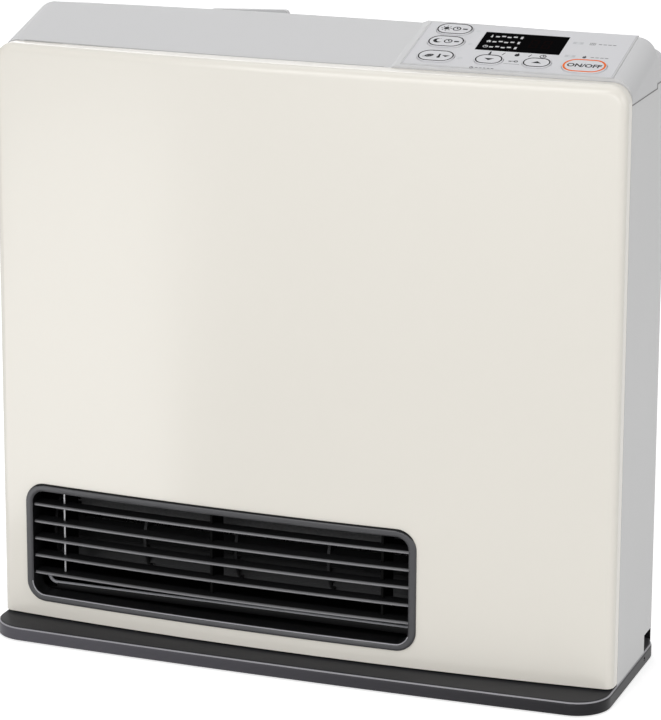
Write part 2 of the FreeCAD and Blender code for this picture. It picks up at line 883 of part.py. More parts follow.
def fan_shaft():
    start = Vector(duct_left - sheet - shaft_stub, fan_y, fan_z)
    return rod(shaft_radius, start, Vector(valve_left + motor_length - sheet, fan_y, fan_z))


def bearing_bush():
    face = Vector(duct_left, fan_y, fan_z)
    outside = face - along_x * (sheet + bush_flange_thickness)
    flange = rod(bush_flange, outside, face - along_x * sheet)
    bush = joined(flange, rod(bush_radius, face - along_x * sheet, face + along_x * bush_flange_thickness))
    reach = along_x * bush_flange_thickness
    return bush.cut(rod(shaft_radius + shaft_fit, outside - reach, face + reach * 2))


def fan_motor():
    face = Vector(valve_left, fan_y, fan_z)
    can = rod(motor_radius, face, face + along_x * motor_length)
    can = rounded(can, motor_round, lambda p: p.x > valve_left + motor_length - near)
    bore_end = face + along_x * (motor_length - sheet / 2)
    return can.cut(rod(shaft_radius + shaft_fit, face - along_x, bore_end))


def around_fan(radius, angle):
    turn = radians(angle)
    return Vector(0, fan_y + radius * cos(turn), fan_z + radius * sin(turn))


def arc_points(radius, start, end):
    return [around_fan(radius, angle) for angle in (start, (start + end) / 2, end)]


def scroll_plate():
    # A sheet that curls round behind and under the fan, then runs flat to the outlet
    outer = arc_points(scroll_radius + scroll_sheet, scroll_start, -90)
    inner = arc_points(scroll_radius, -90, scroll_start)
    lip = [Vector(0, duct_front, outer[2].z), Vector(0, duct_front, inner[0].z)]
    edges = [Part.Arc(*outer).toShape(), Part.makeLine(outer[2], lip[0]), Part.makeLine(*lip)]
    edges += [Part.makeLine(lip[1], inner[0]), Part.Arc(*inner).toShape()]
    edges.append(Part.makeLine(inner[2], outer[0]))
    face = Part.Face(Part.Wire(edges))
    face.translate(along_x * duct_left)
    return face.extrude(along_x * (duct_right - duct_left))


def tongue_plate():
    # The outlet's slotted roof, bent down close to the fan
    edge = around_fan(scroll_radius, tongue_start)
    t = scroll_sheet
    outline = [(duct_front, tongue_z), (edge.y, tongue_z), (edge.y, edge.z), (edge.y - t, edge.z)]
    outline += [(edge.y - t, tongue_z - t), (duct_front, tongue_z - t)]
    plate = side_sheet(outline, (duct_left, duct_right))
    pitch = (duct_right - duct_left) / slot_count
    middle_y = (duct_front + edge.y) / 2
    for index in range(slot_count):
        x = duct_left + pitch * (index + 0.5)
        plate = plate.cut(pill(x, middle_y, slot_size, 0, (tongue_z - 2 * t, tongue_z + t)))
    return plate


def overheat_switch():
    edge = around_fan(scroll_radius, tongue_start)
    pitch = (duct_right - duct_left) / slot_count
    seat = Vector(duct_left + pitch * thermo_slot, (duct_front + edge.y) / 2, tongue_z)
    return rod(thermo_radius, seat, seat + along_z * thermo_height)


def combustion_chamber():
    # A hood over the burner, open below, with slots for room air in its rear wall
    span = (duct_left, duct_right)
    hood = box(span, (chamber_front, chamber_rear), (chamber_z, chamber_top))
    inside = (chamber_front + sheet, chamber_rear - sheet)
    beyond = (span[0] - sheet, span[1] + sheet)
    hood = hood.cut(box(beyond, inside, (chamber_z - sheet, chamber_top - sheet)))
    pitch = (span[1] - span[0]) / intake_slots
    top = chamber_top - intake_slot_size[0]
    for index in range(intake_slots):
        x = span[0] + pitch * (index + 0.5)
        half = intake_slot_size[0] / 2
        corner = half - seat_gap
        z = (top - intake_slot_size[1], top)
        depth = (chamber_rear - 2 * sheet, chamber_rear + sheet)
        hood = hood.cut(front_block((x - half, x + half), z, corner, corner, depth))
    return hood


def burner():
    right = Vector(duct_right, burner_y, burner_z)
    left = right - along_x * burner_length
    body = rod(burner_radius, left, right)
    flange = rod(burner_flange, right - along_x * burner_flange_thickness, right)
    pin = rod(burner_pin, Vector(duct_left, burner_y, burner_z), left)
    body = joined(body, flange, pin)
    bore_end = left + along_x * burner_flange_thickness
    body = body.cut(rod(burner_bore, bore_end, right + along_x))
    pitch = (burner_length - 2 * burner_flange) / port_count
    top = burner_z + burner_radius
    for index in range(port_count):
        x = left.x + burner_flange + pitch * (index + 0.5)
        y = (burner_y - port_size[1] / 2, burner_y + port_size[1] / 2)
        body = body.cut(box((x - port_size[0] / 2, x + port_size[0] / 2), y, (top - port_depth, top + sheet)))
    return body


def nozzle():
    seat = Vector(valve_left, burner_y, burner_z)
    tip = seat - along_x * nozzle_reach
    return rod(nozzle_radius, tip, seat).cut(rod(nozzle_bore, tip - along_x, seat + along_x))


def valve_block():
    half = valve_size[1] / 2
    x = (valve_left, valve_left + valve_size[0])
    z = (valve_z - valve_size[2], valve_z)
    block = box(x, (burner_y - half, burner_y + half), z)
    return rounded(block, valve_round, lambda p: abs(p.x - x[1]) < near and abs(p.z - z[1]) < near)


def coil_spots():
    return [Vector(coil_x, burner_y + side * coil_pitch / 2, valve_z) for side in (-1, 1)]


def solenoid_coils():
    coils = []
    for spot in coil_spots():
        bore = rod(plunger_radius + plunger_gap, spot - along_z, spot + along_z * (coil_height - coil_cap))
        coils.append(rod(coil_radius, spot, spot + along_z * coil_height).cut(bore))
    return coils


def valve_plunger(spot):
    low = spot + along_z * plunger_gap
    high = spot + along_z * (coil_height - coil_cap - plunger_travel - plunger_gap)
    return rod(plunger_radius, low, high)


def gas_pipe():
    # From the inlet forward, up, and across to the valve, with round bends
    inner_y = rear_sheet_front - plug_reach
    route = [Vector(plug_x, inner_y, plug_z), Vector(plug_x, burner_y, plug_z)]
    route += [Vector(plug_x, burner_y, burner_z), Vector(valve_left + valve_size[0], burner_y, burner_z)]
    edges = []
    start = route[0]
    for before, corner, after in zip(route, route[1:], route[2:]):
        back = (before - corner).normalize()
        onward = (after - corner).normalize()
        enter = corner + back * pipe_bend
        leave = corner + onward * pipe_bend
        hub = corner + (back + onward) * pipe_bend
        edges.append(Part.makeLine(start, enter))
        bulge = hub - (back + onward).normalize() * pipe_bend
        edges.append(Part.Arc(enter, bulge, leave).toShape())
        start = leave
    edges.append(Part.makeLine(start, route[-1]))
    spine = Part.Wire(edges)
    ends = [Part.Wire(Part.makeCircle(radius, route[0], -along_y)) for radius in (pipe_radius, pipe_bore)]
    solids = [spine.makePipeShell([end], True, False) for end in ends]
    return solids[0].cut(solids[1])


def gas_plug():
    # The brass inlet: neck inside, flange on the rear sheet, plain spigot outside
    at = lambda y: Vector(plug_x, y, plug_z)
    inner = rear_sheet_front - plug_reach
    flange_back = rear_sheet_back + plug_flange_thickness
    tip = flange_back + plug_length
    body = joined(rod(plug_neck, at(inner), at(rear_sheet_back)),
                  rod(plug_flange, at(rear_sheet_back), at(flange_back)),
                  rod(plug_radius, at(flange_back), at(tip)))
    return body.cut(rod(plug_bore, at(inner - sheet), at(tip + sheet)))


def probe_spots():
    return [(burner_y + side * probe_offset, burner_z + probe_lift) for side in (-1, 1)]


def probe(spot):
    # A ceramic rod through the chassis plate with a wire tip over the burner
    at = lambda x: Vector(x, *spot)
    face = valve_left
    end = face - probe_front
    return joined(rod(probe_flange, at(face), at(face + sheet)),
                  rod(probe_radius, at(end), at(face + probe_back)),
                  rod(probe_tip_radius, at(end - probe_tip), at(end)))


def heat_shield():
    x = (duct_left - shield_overhang, duct_right + shield_overhang)
    z = (base_top + shield_bottom, base_top + shield_bottom + shield_height)
    return box(x, (chassis_front - sheet, chassis_front), z)


def tray_bounds(margin):
    half = tray_size[0] / 2 - margin
    return (tray_x - half, tray_x + half), (tray_z + margin, tray_z + tray_size[1] - margin)


def board_tray():
    x, z = tray_bounds(0)
    plate = box(x, (rear_sheet_front - tray_plate, rear_sheet_front), z)
    inner_x, inner_z = tray_bounds(main_board_margin + tray_boss_radius)
    spots = [Vector(px, board_face, pz) for px in inner_x for pz in inner_z]
    bosses = [rod(tray_boss_radius, spot, spot + along_y * tray_boss) for spot in spots]
    return joined(plate, *bosses)


def main_board():
    x, z = tray_bounds(main_board_margin)
    return box(x, (board_face - board_thickness, board_face), z)


def on_board(x, z, size):
    front = board_face - board_thickness
    return box((x, x + size[0]), (front - size[1], front), (z, z + size[2]))


def transformer():
    x, z = tray_bounds(2 * main_board_margin)
    return on_board(x[0], z[0], transformer_size)


def igniter():
    x, z = tray_bounds(2 * main_board_margin)
    return on_board(x[1] - igniter_size[0], z[0], igniter_size)


def board_components():
    x, z = tray_bounds(2 * main_board_margin)
    front = board_face - board_thickness
    pitch = (x[1] - x[0]) / capacitor_count
    height = z[1] - 2 * capacitor_radius
    spots = [Vector(x[0] + pitch * (index + 0.5), front, height) for index in range(capacitor_count)]
    return [rod(capacitor_radius, spot - along_y * capacitor_length, spot) for spot in spots]


def tip_pivot():
    return Vector(tip_x, tip_y, base_top + tip_size[2] - tip_pin_drop)


def tip_switch():
    # A bracket on the base whose pin carries the pendulum
    x = (tip_x - tip_size[0] / 2, tip_x + tip_size[0] / 2)
    y = (tip_y - tip_size[1] / 2, tip_y + tip_size[1] / 2)
    z = (base_top, base_top + tip_size[2])
    floor = box(x, y, (z[0], z[0] + tip_sheet))
    front = box(x, (y[0], y[0] + tip_sheet), z)
    rear = box(x, (y[1] - tip_sheet, y[1]), z)
    half = along_y * (tip_size[1] / 2 - tip_sheet / 2)
    return joined(floor, front, rear, rod(tip_pin, tip_pivot() - half, tip_pivot() + half))


def tip_pendulum():
    pivot = tip_pivot()
    half = along_y * (tip_bob_length / 2)
    weight = pivot - along_z * tip_arm
    arm_half = tip_arm_width / 2
    z = (weight.z, pivot.z)
    arm = box((pivot.x - arm_half, pivot.x + arm_half), (pivot.y - arm_half, pivot.y + arm_half), z)
    bob = rod(tip_bob, weight - half, weight + half)
    body = joined(rod(tip_eye, pivot - half, pivot + half), arm, bob)
    return body.cut(rod(tip_pin + tip_pin_fit, pivot - half * 2, pivot + half * 2))


def room_sensor():
    at = lambda y: Vector(sensor_x, y, base_top + sensor_lift)
    flange_back = rear_sheet_back + sensor_flange_thickness
    stem = rod(sensor_radius, at(rear_sheet_front - sensor_reach), at(flange_back + sensor_tip))
    stem = rounded(stem, sensor_radius - seat_gap, lambda p: p.y > flange_back + sensor_tip - near)
    return joined(stem, rod(sensor_flange, at(rear_sheet_back), at(flange_back)))


def cord_gland():
    at = lambda y: Vector(gland_x, y, base_top + gland_lift)
    flange_back = rear_sheet_back + gland_flange_thickness
    body = joined(rod(gland_radius, at(rear_sheet_front - gland_reach), at(rear_sheet_back)),
                  rod(gland_flange, at(rear_sheet_back), at(flange_back)))
    return body.cut(rod(gland_bore, at(rear_sheet_front - gland_reach - sheet), at(flange_back + sheet)))


def filter_guides():
    y = (rear_sheet_back, grille_front)
    sides = [(guide_left - guide_width, guide_left), (guide_right, guide_right + guide_width)]
    bars = [box(x, y, (guide_low, guide_high)) for x in sides]
    bars.append(box((guide_left, guide_right), y, (guide_low, guide_low + guide_width)))
    for seat in grille_seats:
        bars = [bar.cut(screw_hole(seat, -along_y)) for bar in bars]
    return bars


def rear_grille():
    # A flat lattice that keeps the filter in, with long gaps for the air
    x = (guide_left - guide_width, guide_right + guide_width)
    z = (guide_low, guide_high)
    y = (grille_front, grille_front + grille_thickness)
    plate = front_block(x, z, guide_width / 2, guide_width / 2, y)
    rows = (z[1] - z[0] - 2 * guide_width) / grille_bars
    columns = (guide_right - guide_left) / (grille_ribs + 1)
    for row in range(grille_bars):
        low = z[0] + guide_width + rows * row + grille_bar / 2
        for column in range(grille_ribs + 1):
            left = guide_left + columns * column + grille_bar / 2
            gap = (left, left + columns - grille_bar), (low, low + rows - grille_bar)
            plate = plate.cut(box(gap[0], (y[0] - sheet, y[1] + sheet), gap[1]))
    for seat in grille_seats:
        plate = plate.cut(screw_hole(seat, -along_y))
    return plate


def filter_frame():
    # A ribbed frame with a pull tab that stands up behind the top cover
    x = (filter_x - filter_width / 2, filter_x + filter_width / 2)
    z = (filter_z, filter_z + filter_height)
    y = (filter_front, filter_front + filter_thickness)
    frame = box(x, y, z)
    wide = (filter_width - 2 * filter_border + filter_rib) / filter_columns
    tall = (filter_height - 2 * filter_border + filter_rib) / filter_rows
    for column in range(filter_columns):
        for row in range(filter_rows):
            low = z[0] + filter_border + tall * row
            left = x[0] + filter_border + wide * column
            gap = (left, left + wide - filter_rib), (low, low + tall - filter_rib)
            frame = frame.cut(box(gap[0], (y[0] - sheet, y[1] + sheet), gap[1]))
    slit = ((y[0] + y[1] - mesh_thickness) / 2, (y[0] + y[1] + mesh_thickness) / 2)
    slit_x, slit_z = mesh_span()
    frame = frame.cut(box(slit_x, slit, slit_z))
    half = tab_width / 2
    tab_y = (y[1] - tab_thickness, y[1])
    rise = z[1] + tab_rise
    outline = [Vector(filter_x - half, 0, z[1]), Vector(filter_x + half, 0, z[1])]
    outline += [Vector(filter_x + half, 0, rise), Vector(filter_x - half, 0, rise - tab_slant)]
    tab = Part.Face(Part.makePolygon(outline + outline[:1]))
    tab.translate(along_y * tab_y[0])
    tab = tab.extrude(along_y * tab_thickness)
    corner = lambda p: p.z > rise - tab_slant - near and abs(abs(p.x - filter_x) - half) < near
    tab = rounded(tab, tab_round, lambda p: corner(p) and abs(p.y - sum(tab_y) / 2) < near)
    return joined(frame, tab)


def mesh_span():
    edge = filter_border / 2
    x = (filter_x - filter_width / 2 + edge, filter_x + filter_width / 2 - edge)
    return x, (filter_z + edge, filter_z + filter_height - edge)


def filter_mesh():
    x, z = mesh_span()
    middle_y = filter_front + filter_thickness / 2
    return box(x, (middle_y - mesh_thickness / 2, middle_y + mesh_thickness / 2), z)


nodes = {
    "base": base(),
    "base_feet": base_feet(),
    "front_panel": front_panel(),
    "left_side_panel": left_side_panel(),
    "right_side_panel": side_panel(),
    "rear_panel": rear_panel(),
    "top_cover": top_cover(),
    "control_sheet": control_sheet(),
    "display_window": display_window(),
    "indicator_lenses": indicator_lenses(),
    "control_board": control_board(),
    "key_switches": key_switches(),
    "number_display": number_display(),
    "outlet_frame": outlet_frame(),
    "louver_blades": louver_blades(),
    "louver_stays": louver_stays(),
    "left_chassis_plate": left_chassis_plate(),
    "right_chassis_plate": right_chassis_plate(),
    "fan_wheel": fan_wheel(),
    "fan_shaft": fan_shaft(),
    "bearing_bush": bearing_bush(),
    "fan_motor": fan_motor(),
    "scroll_plate": scroll_plate(),
    "tongue_plate": tongue_plate(),
    "overheat_switch": overheat_switch(),
    "combustion_chamber": combustion_chamber(),
    "burner": burner(),
    "nozzle": nozzle(),
    "valve_block": valve_block(),
    "solenoid_coils": solenoid_coils(),
    "front_plunger": valve_plunger(coil_spots()[0]),
    "rear_plunger": valve_plunger(coil_spots()[1]),
    "gas_pipe": gas_pipe(),
    "gas_plug": gas_plug(),
    "flame_rod": probe(probe_spots()[0]),
    "spark_electrode": probe(probe_spots()[1]),
    "heat_shield": heat_shield(),
    "board_tray": board_tray(),
    "main_board": main_board(),
    "transformer": transformer(),
    "igniter": igniter(),
    "board_components": board_components(),
    "tip_switch": tip_switch(),
    "tip_pendulum": tip_pendulum(),
    "room_sensor": room_sensor(),
    "cord_gland": cord_gland(),
    "filter_guides": filter_guides(),
    "rear_grille": rear_grille(),
    "filter_frame": filter_frame(),
    "filter_mesh": filter_mesh(),
    "rear_screws": [screw(seat, -along_y) for seat in rear_seats],
    "grille_screws": [screw(seat, -along_y) for seat in grille_seats],
    "base_screws": [screw(seat, -along_z) for seat in base_seats],
}
nodes.update({name: button(*place) for name, place in buttons.items()})

os.makedirs("parts", exist_ok=True)
for name, shape in nodes.items():
    solids = shape if isinstance(shape, list) else shape.Solids
    whole = solids[0] if len(solids) == 1 else Part.makeCompound(solids)
    whole.exportStep(f"parts/{name}.step")
    print(name, len(solids), "valid" if whole.isValid() else "NOT VALID", round(whole.Volume))
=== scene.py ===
import bpy
import bmesh
import json
from math import cos, hypot, pi, radians, sin, sqrt, tan
from mathutils import Matrix, Vector

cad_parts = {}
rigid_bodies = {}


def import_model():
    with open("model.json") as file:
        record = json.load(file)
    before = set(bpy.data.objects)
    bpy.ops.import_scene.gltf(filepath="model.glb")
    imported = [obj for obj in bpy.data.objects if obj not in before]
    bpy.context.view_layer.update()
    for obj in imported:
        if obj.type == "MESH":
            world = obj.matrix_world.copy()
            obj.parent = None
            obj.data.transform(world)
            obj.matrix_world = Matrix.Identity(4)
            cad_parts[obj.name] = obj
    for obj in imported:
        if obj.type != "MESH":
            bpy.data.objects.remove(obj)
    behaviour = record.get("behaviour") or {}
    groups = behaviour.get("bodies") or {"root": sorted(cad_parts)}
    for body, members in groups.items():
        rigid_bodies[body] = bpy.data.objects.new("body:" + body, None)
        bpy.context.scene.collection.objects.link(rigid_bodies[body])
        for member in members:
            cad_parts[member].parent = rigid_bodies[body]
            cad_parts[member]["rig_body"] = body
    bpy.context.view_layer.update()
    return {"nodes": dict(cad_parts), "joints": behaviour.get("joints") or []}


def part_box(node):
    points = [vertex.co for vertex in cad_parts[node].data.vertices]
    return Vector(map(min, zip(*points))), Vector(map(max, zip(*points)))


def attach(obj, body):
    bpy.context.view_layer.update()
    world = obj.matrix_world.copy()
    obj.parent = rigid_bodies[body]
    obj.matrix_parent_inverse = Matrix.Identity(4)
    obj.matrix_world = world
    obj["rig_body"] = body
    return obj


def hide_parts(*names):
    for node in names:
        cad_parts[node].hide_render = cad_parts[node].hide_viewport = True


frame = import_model()
nodes = frame["nodes"]
scene = bpy.context.scene
scene.view_settings.view_transform = "Standard"


def addObject(name, data):
    made = bpy.data.objects.new(name, data)
    scene.collection.objects.link(made)
    return made


cameraView = {
    "place": (0.74786, -2.00857, 0.79284),  # metres: in front, to the right and above
    "yaw": 0.3541,
    "pitch": 0.2483,
    "roll": 0.0039,
    "lens": 166.66,
    "shift": -0.10,
    "farClip": 60,
}


def makeCamera(view):
    yaw, pitch, roll = view["yaw"], view["pitch"], view["roll"]
    ahead = Vector((-sin(yaw) * cos(pitch), cos(yaw) * cos(pitch), -sin(pitch)))
    right = Vector((cos(yaw), sin(yaw), 0))
    up = right.cross(ahead)
    across = cos(roll) * right + sin(roll) * up
    upright = cos(roll) * up - sin(roll) * right
    data = bpy.data.cameras.new("studioCamera")
    data.lens = view["lens"]
    data.shift_y = view["shift"]
    data.clip_end = view["farClip"]
    turn = Matrix((across, upright, -ahead)).transposed()
    scene.camera = addObject("studioCamera", data)
    scene.camera.matrix_world = Matrix.Translation(view["place"]) @ turn.to_4x4()


makeCamera(cameraView)
print("camera set")


def tint(red, green, blue):  # a colour as seen on a screen, to linear
    shares = [value / 255 for value in (red, green, blue)]
    return tuple(share / 12.92 if share < 0.0405 else ((share + 0.055) / 1.055) ** 2.4 for share in shares)


def newGroup(name, kind, inputs, outputs):
    tree = bpy.data.node_groups.new(name, kind + "NodeTree")
    for label, sort, value in inputs:
        socket = tree.interface.new_socket(label, in_out="INPUT", socket_type="NodeSocket" + sort)
        if value is not None:
            socket.default_value = value
    for label, sort in outputs:
        tree.interface.new_socket(label, in_out="OUTPUT", socket_type="NodeSocket" + sort)
    return tree, tree.nodes.new("NodeGroupInput").outputs, tree.nodes.new("NodeGroupOutput").inputs


def fill(tree, socket, value):  # a link where a socket is given, else a plain value
    if isinstance(value, bpy.types.NodeSocket):
        tree.links.new(value, socket)
    else:
        socket.default_value = value


def addNode(tree, kind, settings=None, by=(), **values):
    node = tree.nodes.new(kind)
    for key, value in (settings or {}).items():
        setattr(node, key, value)
    for index, value in enumerate(by):
        fill(tree, node.inputs[index], value)
    for key, value in values.items():
        fill(tree, node.inputs[key.replace("_", " ")], value)
    return node


def maths(tree, operation, *by):
    return addNode(tree, "ShaderNodeMath", {"operation": operation}, by).outputs[0]


def vector(tree, **axes):  # a vector socket from its parts
    return addNode(tree, "ShaderNodeCombineXYZ", **axes).outputs[0]


def geometry(tree, kind, **values):  # a geometry node's first output
    return addNode(tree, "GeometryNode" + kind, **values).outputs[0]


def newMaterial(name):  # with its tree and the inputs of its shader
    material = bpy.data.materials.new(name)
    material.use_nodes = True
    return material, material.node_tree, material.node_tree.nodes["Principled BSDF"].inputs


studio = {
    "floorHalf": 9,  # metres
    "floorColour": (0.76, 0.76, 0.76),
    "floorRough": 0.9,
    "floorLift": 0.62,  # brings the lit floor to white and leaves the shadow
    "skyLight": 0.40,
    "lamps": [  # name, place, aim, size, watts
        ("frontSoftbox", (-0.6, -2.5, 1.7), (-0.1, 0, 0.2), (1.4, 1.6), 23),
        ("rightFill", (2.6, -0.9, 1.0), (0, 0, 0.2), (1.2, 1.6), 12),
        ("lowFill", (0.1, -2.6, 0.35), (0, 0, 0.1), (2.2, 0.5), 11.5),
        ("topSoftbox", (0.1, 0.3, 2.6), (0, 0, 0.2), (2.2, 1.6), 13.5),
        ("rearFill", (-1.0, 2.4, 1.3), (0, 0, 0.2), (1.6, 1.2), 9),
    ],
    "card": ("leftCard", (-0.75, -0.92, 0.012), (-0.75, -0.92, 1), (0.4, 1.65), 4.0),  # seen in glossy surfaces alone
    "cardTurn": 0.47,
}


def seenRays(tree):  # rays from the camera, straight or by way of metal and glass
    path = addNode(tree, "ShaderNodeLightPath").outputs
    mirrored = maths(tree, "MAXIMUM", path["Is Camera Ray"], path["Is Glossy Ray"])
    return maths(tree, "MAXIMUM", mirrored, path["Is Transmission Ray"])


def addLamp(name, place, aim, size, watts):
    data = bpy.data.lights.new(name, "AREA")
    data.shape = "RECTANGLE"
    data.size, data.size_y = size
    data.energy = watts
    lamp = addObject(name, data)
    lamp.location = place
    lamp.rotation_euler = (Vector(aim) - Vector(place)).to_track_quat("-Z", "Y").to_euler()
    return lamp


def makeSky(spec):
    world = bpy.data.worlds.new("studioWorld")
    scene.world = world
    world.use_nodes = True
    tree = world.node_tree
    back = tree.nodes["Background"]
    back.inputs["Color"].default_value = (1, 1, 1, 1)
    level = addNode(tree, "ShaderNodeMapRange", Value=seenRays(tree), To_Min=spec["skyLight"], To_Max=1.0)
    tree.links.new(level.outputs[0], back.inputs["Strength"])


def makeFloor(spec):
    far = spec["floorHalf"]
    mesh = bpy.data.meshes.new("studioFloor")
    mesh.from_pydata([(-far, -far, 0), (far, -far, 0), (far, far, 0), (-far, far, 0)], [], [(0, 1, 2, 3)])
    floor = addObject("studioFloor", mesh)
    paper, tree, sockets = newMaterial("floorPaper")
    glow = maths(tree, "MULTIPLY", seenRays(tree), spec["floorLift"])
    for label, value in (("Base Color", (*spec["floorColour"], 1)), ("Roughness", spec["floorRough"]),
                         ("Specular IOR Level", 0.0), ("Emission Color", (1, 1, 1, 1)), ("Emission Strength", glow)):
        fill(tree, sockets[label], value)
    mesh.materials.append(paper)


makeSky(studio)
for lamp in studio["lamps"]:
    addLamp(*lamp)
card = addLamp(*studio["card"])
card.rotation_euler.rotate_axis("Z", studio["cardTurn"])
card.visible_camera = card.visible_diffuse = card.visible_transmission = False
makeFloor(studio)
print("studio lit")


surface = {
    "fineShare": 0.35,  # of the fine grain in the change of tone
    "bloomScale": 140.0,  # spangle of plated metal, per metre
    "bloomShare": 0.4,
    "rubScale": 160.0,  # noise that breaks up a rubbed edge, per metre
    "rubBreak": (0.35, 0.7),
    "rubFacing": (0.99, 0.80),  # cosines where the rub starts and is full
    "paintedReflectionHalf": 0.217,  # metres to either side of the middle, for the painted reflection
}
surfaceIn = [("Place", "Vector", None), ("Colour", "Color", (0.5, 0.5, 0.5, 1)), ("Tone", "Float", 0.03),
             ("Rough", "Float", 0.4), ("Rough Spread", "Float", 0.06)]
surfaceOut = [("Colour", "Color"), ("Roughness", "Float"), ("Height", "Float")]


def noiseNode(tree, place, scale, detail=3.0):
    return addNode(tree, "ShaderNodeTexNoise", Vector=place, Scale=scale, Detail=detail).outputs[0]


def endSurface(tree, given, out, change, height):  # colour, roughness and height that follow one change of tone
    gain = maths(tree, "MULTIPLY_ADD", change, given["Tone"], 1.0)
    shade = addNode(tree, "ShaderNodeVectorMath", {"operation": "SCALE"}, [given["Colour"]], Scale=gain)
    tree.links.new(shade.outputs[0], out["Colour"])
    tree.links.new(maths(tree, "MULTIPLY_ADD", change, given["Rough Spread"], given["Rough"]), out["Roughness"])
    tree.links.new(height, out["Height"])
    return tree


def makeGrainGroup(spec):  # slow change of tone, fine grain and uneven gloss
    tree, given, out = newGroup("surfaceGrain", "Shader", surfaceIn + [
        ("Patch Scale", "Float", 12.0), ("Grain Scale", "Float", 900.0)], surfaceOut)
    patch = noiseNode(tree, given["Place"], given["Patch Scale"])
    grain = noiseNode(tree, given["Place"], given["Grain Scale"], 2.0)
    slow, fine = (maths(tree, "SUBTRACT", noise, 0.5) for noise in (patch, grain))
    return endSurface(tree, given, out, maths(tree, "MULTIPLY_ADD", fine, spec["fineShare"], slow), grain)


def makeRubGroup(spec):  # a lighter rub along sharp edges, broken up by noise
    tree, given, out = newGroup("edgeRub", "Shader", [
        ("Place", "Vector", None), ("Colour", "Color", (0.5, 0.5, 0.5, 1)), ("Rubbed", "Color", (0.8, 0.8, 0.8, 1)),
        ("Width", "Float", 0.0006), ("Amount", "Float", 0.3)], [("Colour", "Color")])
    soft = addNode(tree, "ShaderNodeBevel", {"samples": 4}, Radius=given["Width"]).outputs[0]
    plain = addNode(tree, "ShaderNodeNewGeometry").outputs["Normal"]
    same = addNode(tree, "ShaderNodeVectorMath", {"operation": "DOT_PRODUCT"}, [soft, plain]).outputs["Value"]
    noise = noiseNode(tree, given["Place"], spec["rubScale"])
    ranges = ((same, spec["rubFacing"]), (noise, spec["rubBreak"]))
    edge, broken = (addNode(tree, "ShaderNodeMapRange", Value=value, From_Min=start, From_Max=end).outputs[0]
                    for value, (start, end) in ranges)
    share = maths(tree, "MULTIPLY", maths(tree, "MULTIPLY", edge, broken), given["Amount"])
    mix = addNode(tree, "ShaderNodeMix", {"data_type": "RGBA"})
    for socket, value in ((0, share), (6, given["Colour"]), (7, given["Rubbed"])):
        tree.links.new(value, mix.inputs[socket])
    tree.links.new(mix.outputs[2], out["Colour"])
    return tree


def makeStreakGroup(spec):  # drawn lines of rolled or turned metal
    tree, given, out = newGroup("metalStreaks", "Shader", surfaceIn + [
        ("Stretch", "Vector", (20.0, 900.0, 900.0))], surfaceOut)
    drawn = addNode(tree, "ShaderNodeVectorMath", {"operation": "MULTIPLY"}, [given["Place"], given["Stretch"]])
    lines = noiseNode(tree, drawn.outputs[0], 1.0)
    bloom = addNode(tree, "ShaderNodeTexVoronoi", Vector=given["Place"], Scale=spec["bloomScale"]).outputs["Distance"]
    spangle = maths(tree, "MULTIPLY_ADD", bloom, spec["bloomShare"], maths(tree, "SUBTRACT", lines, 0.5))
    return endSurface(tree, given, out, spangle, lines)


grainGroup, rubGroup, streakGroup = makeGrainGroup(surface), makeRubGroup(surface), makeStreakGroup(surface)


def placeGroup(tree, group, **values):
    return addNode(tree, "ShaderNodeGroup", {"node_tree": group}, **values).outputs


def makeFinish(name, colour, rough=0.4, spread=0.08, tone=0.03, patch=12.0, grain=900.0, bump=0.14, depth=1.6e-5,
               metal=0.0, gloss=0.5, coat=0.0, streak=None, rub=None, rubWidth=0.0006, rubAmount=0.2, roundEdge=0.0,
               paintedReflection=None):  # colours as seen on a screen
    material, tree, sockets = newMaterial(name)
    place = addNode(tree, "ShaderNodeTexCoord").outputs["Object"]
    shared = dict(Place=place, Colour=(*tint(*colour), 1), Tone=tone, Rough=rough, Rough_Spread=spread)
    if streak:
        made = placeGroup(tree, streakGroup, Stretch=streak, **shared)
    else:
        made = placeGroup(tree, grainGroup, Patch_Scale=patch, Grain_Scale=grain, **shared)
    shown = made["Colour"]
    if rub:
        rubbed = (*tint(*rub), 1)
        shown = placeGroup(tree, rubGroup, Place=place, Colour=shown, Rubbed=rubbed, Width=rubWidth,
                           Amount=rubAmount)["Colour"]
    if paintedReflection:  # painted reflection: a slow change of tone from left to right, lighter at the left
        across = addNode(tree, "ShaderNodeSeparateXYZ", by=[place]).outputs[0]
        half = surface["paintedReflectionHalf"]
        gain = addNode(tree, "ShaderNodeMapRange", Value=across, From_Min=-half, From_Max=half, To_Min=paintedReflection[0],
                       To_Max=paintedReflection[1])
        shown = addNode(tree, "ShaderNodeVectorMath", {"operation": "SCALE"}, [shown], Scale=gain.outputs[0]).outputs[0]
    relief = addNode(tree, "ShaderNodeBump", Strength=bump, Distance=depth, Height=made["Height"])
    if roundEdge:
        soft = addNode(tree, "ShaderNodeBevel", {"samples": 6}, Radius=roundEdge)
        tree.links.new(soft.outputs[0], relief.inputs["Normal"])
    for label, value in (("Base Color", shown), ("Roughness", made["Roughness"]), ("Normal", relief.outputs[0]),
                         ("Metallic", metal), ("Specular IOR Level", gloss), ("Coat Weight", coat)):
        fill(tree, sockets[label], value)
    return material


